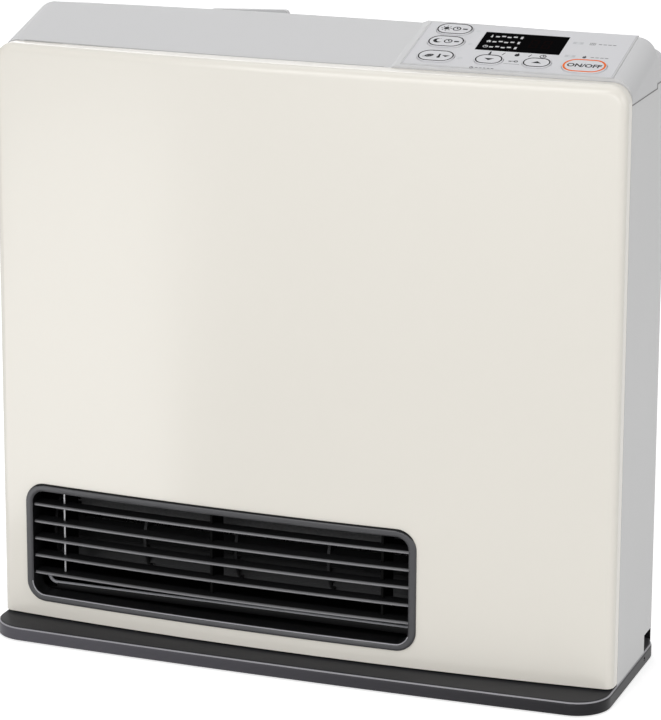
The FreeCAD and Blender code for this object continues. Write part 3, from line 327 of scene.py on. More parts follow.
ink = dict(rough=0.45, spread=0.05, tone=0.06, patch=60, grain=3000, bump=0.03, depth=5e-6, gloss=0.04)
plated = dict(rough=0.34, spread=0.2, tone=0.25, bump=0.1, depth=8e-6, metal=1.0)
finishes = {
    "creamEnamel": dict(colour=(235, 231, 222), rough=0.18, spread=0.04, tone=0.02, patch=7, grain=420,
                        bump=0.08),
    "greyEnamel": dict(colour=(205, 205, 205), rough=0.36, tone=0.03, patch=8, grain=480, gloss=0.4,
                       roundEdge=0.0005),
    "coverPlastic": dict(colour=(208, 208, 209), rough=0.42, tone=0.025, patch=9, grain=2600, gloss=0.3,
                         roundEdge=0.0006),
    "controlFilm": dict(colour=(212, 212, 215), tone=0.015, patch=14, grain=3200, bump=0.06, gloss=0.3),
    "buttonPlastic": dict(colour=(214, 214, 217), tone=0.015, patch=20, grain=3000, bump=0.06, gloss=0.3,
                          roundEdge=0.0004),
    "smokedWindow": dict(colour=(12, 12, 13), rough=0.2, spread=0.03, tone=0.1, patch=20, bump=0.02,
                         gloss=0.0),
    "lampPlastic": dict(colour=(203, 205, 208), rough=0.3, tone=0.05, patch=90, grain=2500, bump=0.06),
    # its colour carries a painted reflection, lighter at the left and darker at the right
    "charcoalPlastic": dict(colour=(54, 53, 57), tone=0.08, patch=14, grain=2200, gloss=0.16,
                            rub=(90, 89, 93), roundEdge=0.0006, paintedReflection=(2.7, 0.36)),
    # painted shade on the base's top
    "paintedShadeBaseTop": dict(colour=(52, 52, 54), rough=0.5, tone=0.12, patch=16, grain=2200, gloss=0.1),
    # painted highlight along the base's rounded upper edge
    "paintedHighlightBaseEdge": dict(colour=(150, 149, 154), rough=0.3, tone=0.08, patch=14, grain=2200),
    "outletEnamel": dict(colour=(62, 62, 65), rough=0.36, tone=0.07, patch=18, rub=(120, 120, 124)),
    "slatEnamel": dict(colour=(84, 84, 87), rough=0.34, tone=0.07, patch=18, rub=(130, 130, 134),
                       rubAmount=0.25, rubWidth=0.0005),
    # painted light on the slats: shade on the front edge's upper half, a highlight on its lower half
    "paintedShadeSlatNose": dict(colour=(58, 58, 60), rough=0.4, tone=0.07, patch=18),
    "paintedHighlightSlatNose": dict(colour=(142, 142, 145), rough=0.34, tone=0.07, patch=18),
    # painted shade along the outlet rim's upper edge
    "paintedShadeRim": dict(colour=(22, 22, 23), rough=0.5, tone=0.1, patch=18, gloss=0.1),
    # painted highlight along the outlet mouth's lower inner edge
    "paintedHighlightRim": dict(colour=(172, 172, 177), rough=0.3, tone=0.08, patch=18),
    # painted highlight on the duct lip's top and the baffle's lower edge
    "paintedHighlightLip": dict(colour=(176, 177, 182), rough=0.36, tone=0.1, patch=30),
    # painted shade on the slats' tops, bottoms and backs
    "paintedShadeSlatBack": dict(colour=(24, 24, 25), rough=0.5, tone=0.1, patch=18, gloss=0.15),
    "stayBlack": dict(colour=(9, 9, 9), rough=0.6, tone=0.15, patch=22, grain=700, gloss=0.05),
    "baffleSteel": dict(colour=(66, 66, 67), rough=0.5, tone=0.9, patch=500, grain=1600, bump=0.5,
                        depth=1e-4, gloss=0.3),
    # painted highlight on the left stay's front edge
    "paintedHighlightStayEdge": dict(plated, colour=(150, 150, 152), rough=0.36, streak=(20, 600, 600), metal=0.5),
    "ductBlack": dict(colour=(14, 14, 15), rough=0.42, spread=0.15, tone=0.25, patch=22, grain=700,
                      gloss=0.2),
    "ductSteel": dict(plated, colour=(44, 44, 45), rough=0.45, streak=(14, 500, 500), metal=0.4, gloss=0.2),
    "zincSteel": dict(plated, colour=(190, 192, 194), streak=(30, 700, 700)),
    "aluminisedSteel": dict(plated, colour=(184, 184, 182), rough=0.45, tone=0.2, streak=(18, 600, 600)),
    "shaftSteel": dict(plated, colour=(170, 170, 170), rough=0.25, tone=0.2, streak=(900, 40, 40)),
    "turnedBrass": dict(plated, colour=(214, 178, 104), rough=0.26, tone=0.16, streak=(60, 1600, 60)),
    "castAlloy": dict(colour=(172, 172, 174), rough=0.5, spread=0.15, tone=0.15, patch=30, grain=1400,
                      metal=1.0),
    "coilBlack": dict(colour=(36, 36, 38), tone=0.15, patch=30, grain=1500),
    "boardGreen": dict(colour=(36, 112, 70), rough=0.28, tone=0.2, patch=60, grain=700, coat=0.3),
    "whiteCeramic": dict(colour=(236, 233, 224), rough=0.22, tone=0.04, patch=60, grain=1200, coat=0.4),
    "blackPlastic": dict(colour=(34, 34, 36), tone=0.12, patch=26, grain=2400, rub=(90, 90, 92)),
    "filterPlastic": dict(colour=(74, 74, 77), rough=0.46, tone=0.1, patch=16, grain=2400,
                          rub=(120, 120, 124), roundEdge=0.0004),
    "framePlastic": dict(colour=(213, 213, 214), rough=0.42, tone=0.04, patch=16, grain=2400,
                         roundEdge=0.0006),
    "footRubber": dict(colour=(30, 30, 31), rough=0.75, tone=0.2, patch=40, grain=1800, bump=0.35, gloss=0.3),
    "netThread": dict(colour=(58, 58, 61), rough=0.55, tone=0.15, patch=40, grain=3000),
    "inkBlack": dict(ink, colour=(24, 24, 26)),
    "inkOrange": dict(ink, colour=(236, 112, 40)),
    "inkGrey": dict(ink, colour=(88, 88, 92)),
    "inkPale": dict(ink, colour=(196, 197, 200)),
    "inkFaint": dict(ink, colour=(184, 184, 188)),
    # painted shadow in the joints beside and in front of the cover
    "paintedShadowSeam": dict(colour=(138, 138, 138), rough=0.6, tone=0.1, patch=30, gloss=0.1),
    "paintedShadowFrontSeam": dict(colour=(186, 186, 185), rough=0.6, tone=0.05, patch=30, gloss=0.1),
    "inkWhite": dict(ink, colour=(214, 214, 216)),
    "darkSegment": dict(ink, colour=(20, 13, 13), gloss=0.0),
}
materials = {name: makeFinish(name, **spec) for name, spec in finishes.items()}
print("materials made:", len(materials))

nodeFinish = {  # solids whose own mesh is shown
    "footRubber": ["bearing_bush"],
    "lampPlastic": ["indicator_lenses"],
    "stayBlack": ["louver_stays"],
    "ductBlack": ["left_chassis_plate", "right_chassis_plate", "tongue_plate", "scroll_plate"],
    "zincSteel": ["fan_motor", "base_screws"],
    "aluminisedSteel": ["combustion_chamber", "burner", "gas_pipe", "heat_shield"],
    "shaftSteel": ["fan_shaft", "front_plunger", "rear_plunger", "tip_pendulum"],
    "turnedBrass": ["nozzle"],
    "castAlloy": ["valve_block"],
    "coilBlack": ["solenoid_coils", "transformer"],
    "boardGreen": ["control_board", "main_board"],
    "whiteCeramic": ["flame_rod", "spark_electrode"],
    "blackPlastic": ["key_switches", "number_display", "overheat_switch", "board_tray", "igniter", "board_components",
                     "tip_switch"],
    "filterPlastic": ["filter_guides", "rear_grille"],
    "ductSteel": ["fan_wheel"],
}
for finish, names in nodeFinish.items():
    for name in names:
        slots = nodes[name].data.materials
        slots.clear()
        slots.append(materials[finish])
print("solids finished:", sum(len(names) for names in nodeFinish.values()))


def addPiece(name, mesh, finish, body, stands=()):
    if finish:
        mesh.materials.clear()
        mesh.materials.append(materials[finish])
    piece = addObject(name, mesh)
    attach(piece, body)
    if stands:
        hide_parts(*stands)
    return piece


def meshFrom(shape, name, smooth=False):
    mesh = bpy.data.meshes.new(name)
    for face in shape.faces:
        face.smooth = smooth
    shape.to_mesh(mesh)
    shape.free()
    return mesh


def addShape(name, shape, finish, smooth=False, body="heater"):
    return addPiece(name, meshFrom(shape, name, smooth), finish, body)


def paintFaces(mesh, extra, pick):  # further finishes, handed to the faces by number
    for finish in extra:
        mesh.materials.append(materials[finish])
    for face in mesh.polygons:
        face.material_index = pick(face)


def markSharp(shape, degrees=35):
    for edge in shape.edges:
        edge.smooth = edge.calc_face_angle(pi) < radians(degrees)


def evenly(start, end, steps):  # evenly spaced values, both ends included
    return [start + (end - start) * step / steps for step in range(steps + 1)]


def arc(middle, radius, start, end, steps=16):
    turns = [radians(turn) for turn in evenly(start, end, steps)]
    return [(middle[0] + radius * cos(turn), middle[1] + radius * sin(turn)) for turn in turns]


def disc(middle, radius, steps=24):
    return arc(middle, radius, 0, 360, steps)[:-1]


def bar(x0, y0, x1, y1):
    return [(x0, y0), (x1, y0), (x1, y1), (x0, y1)]


def ringShape(rings, closed=False):  # a skin over rings of points, with its ends filled unless it runs round
    shape = bmesh.new()
    made = [[shape.verts.new(point) for point in ring] for ring in rings]
    for ring, following in zip(made, made[1:] + made[:1] * closed):
        for index in range(len(ring)):
            after = (index + 1) % len(ring)
            shape.faces.new((ring[index], ring[after], following[after], following[index]))
    if not closed:
        shape.faces.new(made[0])
        shape.faces.new(made[-1])
    bmesh.ops.recalc_face_normals(shape, faces=shape.faces)
    return shape


def sweptBand(outline, ends, steps=4):  # a closed outline in the YZ plane, run along X
    shape = ringShape([[(x, y, z) for y, z in outline] for x in evenly(*ends, steps)])
    markSharp(shape)
    return shape


def tubeAlong(points, radius, sides=8):  # a round bar on a line of points
    rings = []
    for index, point in enumerate(points):
        along = (points[min(index + 1, len(points) - 1)] - points[max(index - 1, 0)]).normalized()
        side = along.cross(Vector((0, 1, 0))).normalized()
        deep = side.cross(along)
        rings.append([point + radius * (x * deep + y * side) for x, y in disc((0, 0), 1, sides)])
    return ringShape(rings)


def boxOf(points):  # lowest and highest corners
    return [Vector([pick(point[axis] for point in points) for axis in range(3)]) for pick in (min, max)]


def mergedShape(node):  # a node's own mesh with its faces joined up
    shape = bmesh.new()
    shape.from_mesh(nodes[node].data)
    bmesh.ops.remove_doubles(shape, verts=shape.verts, dist=2e-6)
    return shape


def islands(node):  # the box of each separate solid of a node, from left to right
    shape = mergedShape(node)
    left, found = set(shape.verts), []
    while left:
        start = left.pop()
        part, border = [start], [start]
        while border:
            for edge in border.pop().link_edges:
                for vert in edge.verts:
                    if vert in left:
                        left.discard(vert)
                        part.append(vert)
                        border.append(vert)
        found.append(boxOf([vert.co for vert in part]))
    shape.free()
    return sorted(found, key=lambda item: [round(value, 5) for value in item[0]])


def bowed(front, half, bow, x):  # y of an edge that bows forward in its middle
    radius = (half ** 2 + bow ** 2) / (2 * bow)
    return front + radius - sqrt(radius ** 2 - x ** 2)


skins = {  # solids shown as a merged copy with smooth rounds
    "sharpAngle": 32,  # degrees
    "finish": {
        "creamEnamel": ["front_panel"],
        "greyEnamel": ["left_side_panel", "right_side_panel", "rear_panel"],
        "coverPlastic": ["top_cover"],
        "charcoalPlastic": ["base"],
        "footRubber": ["base_feet"],
        "outletEnamel": ["outlet_frame"],
        "controlFilm": ["control_sheet"],
        "smokedWindow": ["display_window"],
        "buttonPlastic": ["button_" + name for name in ("boost", "sleep", "eco", "down", "up", "power")],
        "framePlastic": ["filter_frame"],
        "turnedBrass": ["gas_plug"],
        "blackPlastic": ["cord_gland", "room_sensor"],
    },
    "baseTop": 0.86,  # least upward part of a normal on the base's top, which takes painted shade
    "baseEdge": 0.5,  # and on its rounded upper edge, which takes a painted highlight
}


def smoothSkin(node, finish):
    shape = mergedShape(node)
    markSharp(shape, skins["sharpAngle"])
    mesh = meshFrom(shape, node + "Skin", smooth=True)
    skin = addPiece(node + "Skin", mesh, finish, nodes[node]["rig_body"], [node])
    even = skin.modifiers.new("evenNormals", "WEIGHTED_NORMAL")
    even.mode = "FACE_AREA_WITH_ANGLE"
    even.keep_sharp = True
    return skin


# painted shade on the base's top, painted highlight on its rounded upper edge
def pickBase(face):
    return 1 if face.normal.z > skins["baseTop"] else 2 if face.normal.z > skins["baseEdge"] else 0


skinOf = {node: smoothSkin(node, finish) for finish, names in skins["finish"].items() for node in names}
paintFaces(skinOf["base"].data, ("paintedShadeBaseTop", "paintedHighlightBaseEdge"), pickBase)
print("skins made:", len(skinOf))


seams = {  # painted shadow in the joints between the cover and the painted sheets, metres
    "wide": 0.0007,
    "proud": 0.0002,
    "sunk": 0.0006,
    "rearStop": 0.003,  # before the side panel's rear edge
    "near": 1e-5,  # for points at the step's level
    "outer": 0.9,  # share of the half width where the step is looked for
    "frontBow": 0.0045,
    "frontDrop": 0.0004,  # below the front panel's top
    "frontReach": 0.0016,  # up the slope from the cover's front edge
    "endShare": 0.85,  # of the reach that is lost at the ends, where the cover stands higher
    "frontEnds": (-0.200, 0.054),
    "slope": 16,  # degrees
    "film": 0.00006,
    "steps": 40,
}


def sideSeam(name, side, spec):  # a strip of painted shadow along the side, with a step up towards the rear
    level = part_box("top_cover")[0][2]
    low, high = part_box("right_side_panel")
    corners = [vert.co for vert in nodes["top_cover"].data.vertices if abs(vert.co.x) > spec["outer"] * high[0]]
    stepAt = min(point.y for point in corners if abs(point.z - high[2]) < spec["near"])
    half = spec["wide"] / 2
    front, back = low[1] - half, high[1] - spec["rearStop"] + half
    under = [(front, level), (stepAt + half, level), (stepAt + half, high[2]), (back, high[2])]
    over = [(back, high[2]), (stepAt - half, high[2]), (stepAt - half, level), (front, level)]
    outline = [(y, z - half) for y, z in under] + [(y, z + half) for y, z in over]
    ends = [side * (high[0] - spec["sunk"]), side * (high[0] + spec["proud"])]
    addShape(name, sweptBand(outline, ends, 1), "paintedShadowSeam")


def frontSeam(name, spec):  # a strip of painted shadow along the bowed front edge of the cover, beside the controls
    start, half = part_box("top_cover")[0][1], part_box("right_side_panel")[1][0]
    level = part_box("front_panel")[1][2] - spec["frontDrop"]
    rings = []
    for x in evenly(*spec["frontEnds"], spec["steps"]):
        front = bowed(start, half, spec["frontBow"], x)
        reach = spec["frontReach"] * (1 - spec["endShare"] * (x / half) ** 2)
        ring = []
        for y, lift in bar(0, -spec["sunk"], reach, spec["film"]):
            rise = (front + y - start) * tan(radians(spec["slope"]))
            ring.append((x, front + y, level + rise + lift))
        rings.append(ring)
    addShape(name, ringShape(rings), "paintedShadowFrontSeam")


sideSeam("leftSeam", -1, seams)
sideSeam("rightSeam", 1, seams)
frontSeam("frontSeam", seams)
print("seams drawn")


def newTree(name, inputs):
    inputs = [("Geometry", "Geometry", None), *inputs, ("Material", "Material", None)]
    tree, given, out = newGroup(name, "Geometry", inputs, [("Geometry", "Geometry")])
    tree.is_modifier = True
    return tree, given, out


def endTree(tree, given, out, instances):
    real = geometry(tree, "RealizeInstances", Geometry=instances)
    tree.links.new(geometry(tree, "SetMaterial", Geometry=real, Material=given["Material"]), out[0])
    return tree


def runTree(tree, start, name, **values):  # a plain mesh from a start mesh and named inputs
    start.materials.append(values["Material"])
    maker = addObject(name + "Maker", start)
    grow = maker.modifiers.new("grow", "NODES")
    grow.node_group = tree
    ids = {item.name: item.identifier for item in tree.interface.items_tree if item.in_out == "INPUT"}
    for key, value in values.items():
        grow[ids[key.replace("_", " ")]] = value
    ready = maker.evaluated_get(bpy.context.evaluated_depsgraph_get())
    mesh = bpy.data.meshes.new_from_object(ready)
    mesh.name = name
    maker.modifiers.clear()
    bpy.data.objects.remove(maker)
    return mesh


def makeRowTree():  # one shape repeated along a straight row
    tree, given, out = newTree("rowOfShapes", [("Count", "Int", 5), ("Step", "Vector", None)])
    row = geometry(tree, "MeshLine", Count=given["Count"], Offset=given["Step"])
    return endTree(tree, given, out, geometry(tree, "InstanceOnPoints", Points=row, Instance=given["Geometry"]))


rowTree = makeRowTree()

louvre = {
    "count": 5,
    "pitch": 0.0122,
    "thickness": 0.0024,
    "setback": 0.0015,  # behind the panel's face
    "depth": 0.011,
    "nose": 0.0011,  # radius of the front edge
    "noseSteps": 8,
    "panelBow": 0.010,
    "segments": 60,
    "backFacing": -0.3,  # a normal's y above this is behind the front edge, which takes painted shade
    "upperFacing": 0.3,  # a normal's z above this is on the front edge's upper half, which takes painted shade
    # a normal's z below this is on the front edge's lower half, which takes a painted highlight
    "lowerFacing": -0.1,
}
panelLow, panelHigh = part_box("front_panel")


def panelFace(x):  # the bowed panel's front, y over x
    return bowed(panelLow[1], panelHigh[0], louvre["panelBow"], x)


def makeSlat(spec):
    low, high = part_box("louver_blades")
    nose, half = spec["nose"], spec["thickness"] / 2
    profile = []
    for degrees in evenly(90, 270, spec["noseSteps"]):  # rounded front edge, then straight back
        turn = radians(degrees)
        lift = (half - nose) * (1 if degrees < 180 else -1 if degrees > 180 else 0)
        profile.append((nose + nose * cos(turn), lift + nose * sin(turn)))
    profile += [(spec["depth"], -half), (spec["depth"], half)]
    rings = []
    for x in evenly(low[0], high[0], spec["segments"]):
        front = panelFace(x) + spec["setback"]
        rings.append([(x, front + back, high[2] - half + rise) for back, rise in profile])
    shape = ringShape(rings)
    markSharp(shape)
    return meshFrom(shape, "slat", smooth=True)


# painted light on the slats: shade behind the front edge and on its upper half, a highlight on its lower half
def pickSlat(face):
    if face.normal.y > louvre["backFacing"]:
        return 1
    return 2 if face.normal.z > louvre["upperFacing"] else 3 if face.normal.z < louvre["lowerFacing"] else 0


slats = runTree(rowTree, makeSlat(louvre), "louvreSlats", Count=louvre["count"], Step=(0, 0, -louvre["pitch"]),
                Material=materials["slatEnamel"])
addPiece("louvreSlats", slats, None, "heater", ["louver_blades"])
paintFaces(slats, ("paintedShadeSlatBack", "paintedShadeSlatNose", "paintedHighlightSlatNose"), pickSlat)

rim = {
    "wide": 0.005,
    "corner": 0.009,  # of the mouth's outline
    "bead": 0.00035,  # radius of the bead of painted highlight on the inner edge
    "beadPlace": (0.0005, -0.0016),  # outside the mouth, in front of the panel
    "beadSteps": 40,
    "wall": 2e-5,  # nearer than this is the mouth's wall
    "paintedShadeFacing": 1.0,  # sum of the least and the greatest upward part of a face's normals, above which the rim takes painted shade
}
rimLow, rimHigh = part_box("outlet_frame")
rimMiddle = (rimLow + rimHigh) / 2
mouthReach = (rimHigh - rimLow) / 2 - Vector((1, 1, 1)) * (rim["wide"] + rim["corner"])


def mouthGap(point):  # how far a point lies outside the mouth's rounded outline
    away = point - rimMiddle
    return hypot(*(max(abs(away[axis]) - mouthReach[axis], 0) for axis in (0, 2))) - rim["corner"]


def makeRimHighlight(spec):  # a painted highlight: a bright bead round the mouth's lower corners and along its lower edge
    out, ahead = spec["beadPlace"]
    reach = spec["corner"] + out
    left, right = rimMiddle.x - mouthReach.x, rimMiddle.x + mouthReach.x
    low = rimMiddle.z - mouthReach.z
    flat = arc((left, low), reach, 180, 260, 8)
    flat += [(x, low - reach) for x in evenly(left, right, spec["beadSteps"])]
    flat += arc((right, low), reach, 280, 340, 6)
    line = [Vector((x, panelFace(x) + ahead, z)) for x, z in flat]
    addShape("rimHighlightBead", tubeAlong(line, spec["bead"]), "paintedHighlightRim", smooth=True)


def pickRim(face):  # black inside the mouth, painted shade along the rim's upper edge
    points = [frameSkin.vertices[index] for index in face.vertices]
    rises = [point.normal.z for point in points]
    gap = max(mouthGap(point.co) for point in points)
    if gap < rim["wall"] or face.center.y > panelFace(face.center.x) + louvre["setback"]:
        return 1
    return 2 if face.center.z > rimMiddle.z and min(rises) + max(rises) > rim["paintedShadeFacing"] else 0


makeRimHighlight(rim)
frameSkin = skinOf["outlet_frame"].data
paintFaces(frameSkin, ("ductBlack", "paintedShadeRim"), pickRim)
print("louvre slats made:", len(slats.polygons), "faces")


duct = {
    "lipFront": -0.0312,  # metres, y of the rolled front edge
    "lipRise": 0.0055,  # above the scroll plate's lowest edge
    "lipFoot": 0.0012,
    "lipRadius": 0.0012,
    "lipEnds": (-0.183, 0.074),
    "lipCorner": 0.0065,  # its left end turns up by this radius
    "lipFacing": 0.2,  # least upward part of a normal on its top, which takes a painted highlight
    "flangeWide": 0.0011,
    "flangeThick": 0.0005,
    "flangeAhead": 0.0003,  # of the stay's front
    "flangeGap": 0.0002,  # to the blades
    "baffleEnds": (-0.168, 0.056),
    "beadRadius": 0.0006,  # of the bead of painted highlight on the baffle's lower edge
    "baffleCurve": [(-0.0300, 0.1005), (-0.0268, 0.0970), (-0.0240, 0.0927), (-0.0222, 0.0881), (-0.0214, 0.0835)],
    "baffleBack": (0.0012, 0.00048),  # from its front to its back
}


def makeLip(spec):  # the duct's rolled lower edge, a painted highlight on its upper faces and black below
    radius = spec["lipRadius"]
    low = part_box("scroll_plate")[0][2]
    middle = (spec["lipFront"] + radius, low + spec["lipRise"] - radius)
    foot = low + spec["lipFoot"]
    outline = arc(middle, radius, 0, 180, 6) + [(middle[0] - radius, foot), (middle[0] + radius, foot)]
    lip = addShape("ductLip", sweptBand(outline, spec["lipEnds"]), "paintedHighlightLip", smooth=True)
    paintFaces(lip.data, ["ductBlack"], lambda face: 0 if face.normal.z > spec["lipFacing"] else 1)
    bend = spec["lipCorner"]
    turn = arc((spec["lipEnds"][0], middle[1] + bend), bend, 270, 180, 9)
    line = [Vector((x, middle[0], z)) for x, z in turn]
    addShape("lipCorner", tubeAlong(line, radius), "paintedHighlightLip", smooth=True)


def makeBaffle(spec):  # a bent plate above the blades' rear edges, with a bead of painted highlight along its lower edge
    curve = [Vector(point) for point in spec["baffleCurve"]]
    back = [point + Vector(spec["baffleBack"]) for point in reversed(curve)]
    plate = sweptBand([tuple(point) for point in curve + back], spec["baffleEnds"])
    addShape("ductBaffle", plate, "baffleSteel", smooth=True)
    bead = disc(spec["baffleCurve"][-1], spec["beadRadius"], 8)
    addShape("baffleHighlightBead", sweptBand(bead, spec["baffleEnds"]), "paintedHighlightLip", smooth=True)


def makeFlange(spec):  # plated strips on the left stay's front edge, between the blades, made bright as a painted highlight
    low, high = min(islands("louver_stays"), key=lambda item: item[0].x)
    cuts = [high.z]
    for index in range(louvre["count"]):
        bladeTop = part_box("louver_blades")[1][2] - index * louvre["pitch"]
        cuts += [bladeTop + spec["flangeGap"], bladeTop - louvre["thickness"] - spec["flangeGap"]]
    shape = bmesh.new()
    for upper, lower in zip(cuts[0::2], cuts[1::2]):
        middle = Vector(((low.x + high.x) / 2, low.y - spec["flangeAhead"], (upper + lower) / 2))
        size = Matrix.Diagonal((spec["flangeWide"], spec["flangeThick"], upper - lower, 1))
        bmesh.ops.create_cube(shape, size=1, matrix=Matrix.Translation(middle) @ size)
    addShape("ductFlange", shape, "paintedHighlightStayEdge")


makeLip(duct)
makeBaffle(duct)
makeFlange(duct)
print("duct mouth made")

screws = {
    "sizes": {  # inputs of the node group, metres
        "Head Radius": 0.0032,  # unless the solids say otherwise
        "Head Height": 0.0018,
        "Crown": 0.0008,  # the part of the head that tapers
        "Crown Share": 0.72,  # crown radius over head radius
        "Recess Length": 0.0038,
        "Recess Width": 0.0009,
        "Recess Depth": 0.0012,
    },
    "shallow": 0.95,  # of that depth for the second bar, so that the two floors aren't level
    "seed": 4,
}


def makeScrewTree(spec):  # cross-head screws on points, each turned by chance, facing +Y
    sizes = [(label, "Float", value) for label, value in spec["sizes"].items()]
    tree, given, out = newTree("crossHeadScrews", [("Seed", "Int", spec["seed"]), *sizes])
    high, long, short = given["Head Height"], given["Recess Length"], given["Recess Width"]
    crownRadius = maths(tree, "MULTIPLY", given["Head Radius"], given["Crown Share"])
    cone = geometry(tree, "MeshCone", Vertices=32, Side_Segments=2, Radius_Top=crownRadius,
                    Radius_Bottom=given["Head Radius"], Depth=high)
    spot = addNode(tree, "ShaderNodeSeparateXYZ", by=[geometry(tree, "InputPosition")]).outputs
    midway = maths(tree, "COMPARE", spot["Z"], maths(tree, "MULTIPLY", high, 0.5), 1e-5)
    widen = maths(tree, "DIVIDE", 2.0, maths(tree, "ADD", given["Crown Share"], 1.0))
    shoulder = vector(tree, X=maths(tree, "MULTIPLY", spot["X"], widen), Y=maths(tree, "MULTIPLY", spot["Y"], widen),
                      Z=maths(tree, "SUBTRACT", high, given["Crown"]))
    head = geometry(tree, "SetPosition", Geometry=cone, Selection=midway, Position=shoulder)
    cut = addNode(tree, "GeometryNodeMeshBoolean", {"operation": "DIFFERENCE"}, Mesh_1=head)
    for wide, deep, share in ((long, short, 1.0), (short, long, spec["shallow"])):
        depth = maths(tree, "MULTIPLY", given["Recess Depth"], 2 * share)
        slot = geometry(tree, "MeshCube", Size=vector(tree, X=wide, Y=deep, Z=depth))
        raised = geometry(tree, "Transform", Geometry=slot, Translation=vector(tree, Z=high))
        tree.links.new(raised, cut.inputs["Mesh 2"])
    turned = addNode(tree, "FunctionNodeRandomValue", Seed=given["Seed"], Min=0.0, Max=pi / 2).outputs[1]
    placed = geometry(tree, "InstanceOnPoints", Points=given["Geometry"], Instance=cut.outputs[0])
    for turn in ((-pi / 2, 0, 0), vector(tree, Z=turned)):
        placed = geometry(tree, "RotateInstances", Instances=placed, Rotation=turn)
    return endTree(tree, given, out, placed)


def makeScrews(spec, tree, node):
    boxes = islands(node)
    middles = [(low + high) / 2 for low, high in boxes]
    seats = bpy.data.meshes.new(node + "Seats")
    backs = [high.y - spec["sizes"]["Head Height"] for low, high in boxes]
    seats.from_pydata([(middle.x, back, middle.z) for middle, back in zip(middles, backs)], [], [])
    radius = (boxes[0][1].x - boxes[0][0].x) / 2
    mesh = runTree(tree, seats, node + "Heads", Head_Radius=radius, Material=materials["zincSteel"])
    addPiece(node + "Heads", mesh, None, "heater", [node])
    return len(boxes)


screwTree = makeScrewTree(screws)
print("screws made:", sum(makeScrews(screws, screwTree, node) for node in ("rear_screws", "grille_screws")))

net = {"pitch": 0.0022, "thread": 0.00028}


def makeNetTree(spec):  # crossed threads over a flat frame, in the XZ plane
    tree, given, out = newTree("filterNet", [
        ("Corner", "Vector", None), ("Wide", "Float", 0.2), ("High", "Float", 0.2),
        ("Pitch", "Float", spec["pitch"]), ("Thread", "Float", spec["thread"])])
    both = addNode(tree, "GeometryNodeJoinGeometry")
    ways = (("High", "Wide", (0, 0, 0), "Z", "X"), ("Wide", "High", (0, pi / 2, 0), "X", "Z"))
    for along, across, turn, lengthwise, ahead in ways:
        count = maths(tree, "FLOOR", maths(tree, "DIVIDE", given[across], given["Pitch"]))
        thread = geometry(tree, "MeshCylinder", Vertices=6, Radius=given["Thread"], Depth=given[along])
        middle = vector(tree, **{lengthwise: maths(tree, "MULTIPLY", given[along], 0.5)})
        laid = geometry(tree, "Transform", Geometry=thread, Translation=middle, Rotation=turn)
        step = vector(tree, **{ahead: given["Pitch"]})
        row = geometry(tree, "MeshLine", Count=count, Offset=step, Start_Location=given["Corner"])
        tree.links.new(geometry(tree, "InstanceOnPoints", Points=row, Instance=laid), both.inputs[0])
    return endTree(tree, given, out, both.outputs[0])


low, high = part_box("filter_mesh")
corner = (low.x, (low.y + high.y) / 2, low.z)
netMesh = runTree(makeNetTree(net), bpy.data.meshes.new("netStart"), "filterNet", Corner=corner, Wide=high.x - low.x,
                  High=high.z - low.z, Material=materials["netThread"])
addPiece("filterNet", netMesh, None, "filter", ["filter_mesh"])
print("filter net made:", len(netMesh.polygons), "faces")

pressAxis = next(joint["axis"] for joint in frame["joints"] if joint["name"] == "eco_press")
slopeOut = -Vector(pressAxis).normalized()  # out of the control section
slopeUp = Vector((0, slopeOut.z, -slopeOut.y))
slopeTurn = Matrix((Vector((1, 0, 0)), slopeUp, slopeOut)).transposed()


def slopePoints(node):  # a node's corners, measured along the slope's axes
    return [slopeTurn.transposed() @ vert.co for vert in nodes[node].data.vertices]


def pillLoop(halfWide, halfHigh):
    reach = halfWide - halfHigh
    return arc((reach, 0), halfHigh, -90, 90) + arc((-reach, 0), halfHigh, 90, 270)


def turnedLoop(loop, angle, shift=(0, 0)):
    c, s = cos(radians(angle)), sin(radians(angle))
    return [(x * c - y * s + shift[0], x * s + y * c + shift[1]) for x, y in loop]


def scaled(shapes, factor, shift=(0, 0)):
    return [[[(x * factor + shift[0], y * factor + shift[1]) for x, y in loop] for loop in shape] for shape in shapes]


def dashes(count, pitch, left, right, half):  # a row of short bars in place of words
    return [[bar(left + pitch * step, -half, right + pitch * step, half)] for step in range(count)]


def sunMark():
    rays = [[turnedLoop(bar(1.25, -0.16, 1.95, 0.16), 45 * step)] for step in range(8)]
    return [[disc((0, 0), 0.95)]] + rays


def moonMark():
    return [[arc((0, 0), 1.6, 60, 330, 24) + arc((0.75, 0.35), 1.25, 305, 85, 20)]]


def leafMark():
    blade = arc((0, -1.3), 2.1, 30, 150, 14) + arc((0, 0.8), 2.1, 210, 330, 14)
    vein = bar(-1.3, -0.33, 1.0, -0.17)
    return [[turnedLoop(blade, 28), turnedLoop(vein, 28)], [turnedLoop(bar(-2.5, -0.36, -1.75, -0.12), 28)]]


def clockMark():
    return [[disc((0, 0), 1.5), disc((0, 0), 1.08)], [bar(-0.2, 0, 0.2, 0.9)], [bar(0, -0.2, 0.75, 0.2)]]


def thermometerMark():
    bulb = arc((0, -1.0), 0.62, 125, 415, 18)
    return [[bulb + arc((0, 1.1), 0.34, 0, 180, 8)]]


def keyMark():
    return [[disc((1.5, 0), 1.05), disc((1.5, 0), 0.55)], [bar(-2.3, -0.22, 0.5, 0.22)],
            [bar(-2.1, -0.95, -1.7, -0.2)], [bar(-1.3, -0.8, -0.9, -0.2)]]


def filterMark():
    uprights = [[bar(-1.5 + step, -1.2, -1.3 + step, 1.2)] for step in range(4)]
    return uprights + [[bar(-1.5, -1.3, 1.7, -1.05)], [bar(-1.5, 1.05, 1.7, 1.3)], [bar(-1.5, -0.1, 1.7, 0.1)]]


def flameMark():
    outer = arc((0, -0.5), 1.1, 180, 360, 14) + [(0.8, 0.55), (0.25, 1.7), (-0.15, 0.7), (-0.75, 0.75)]
    return [[outer]]


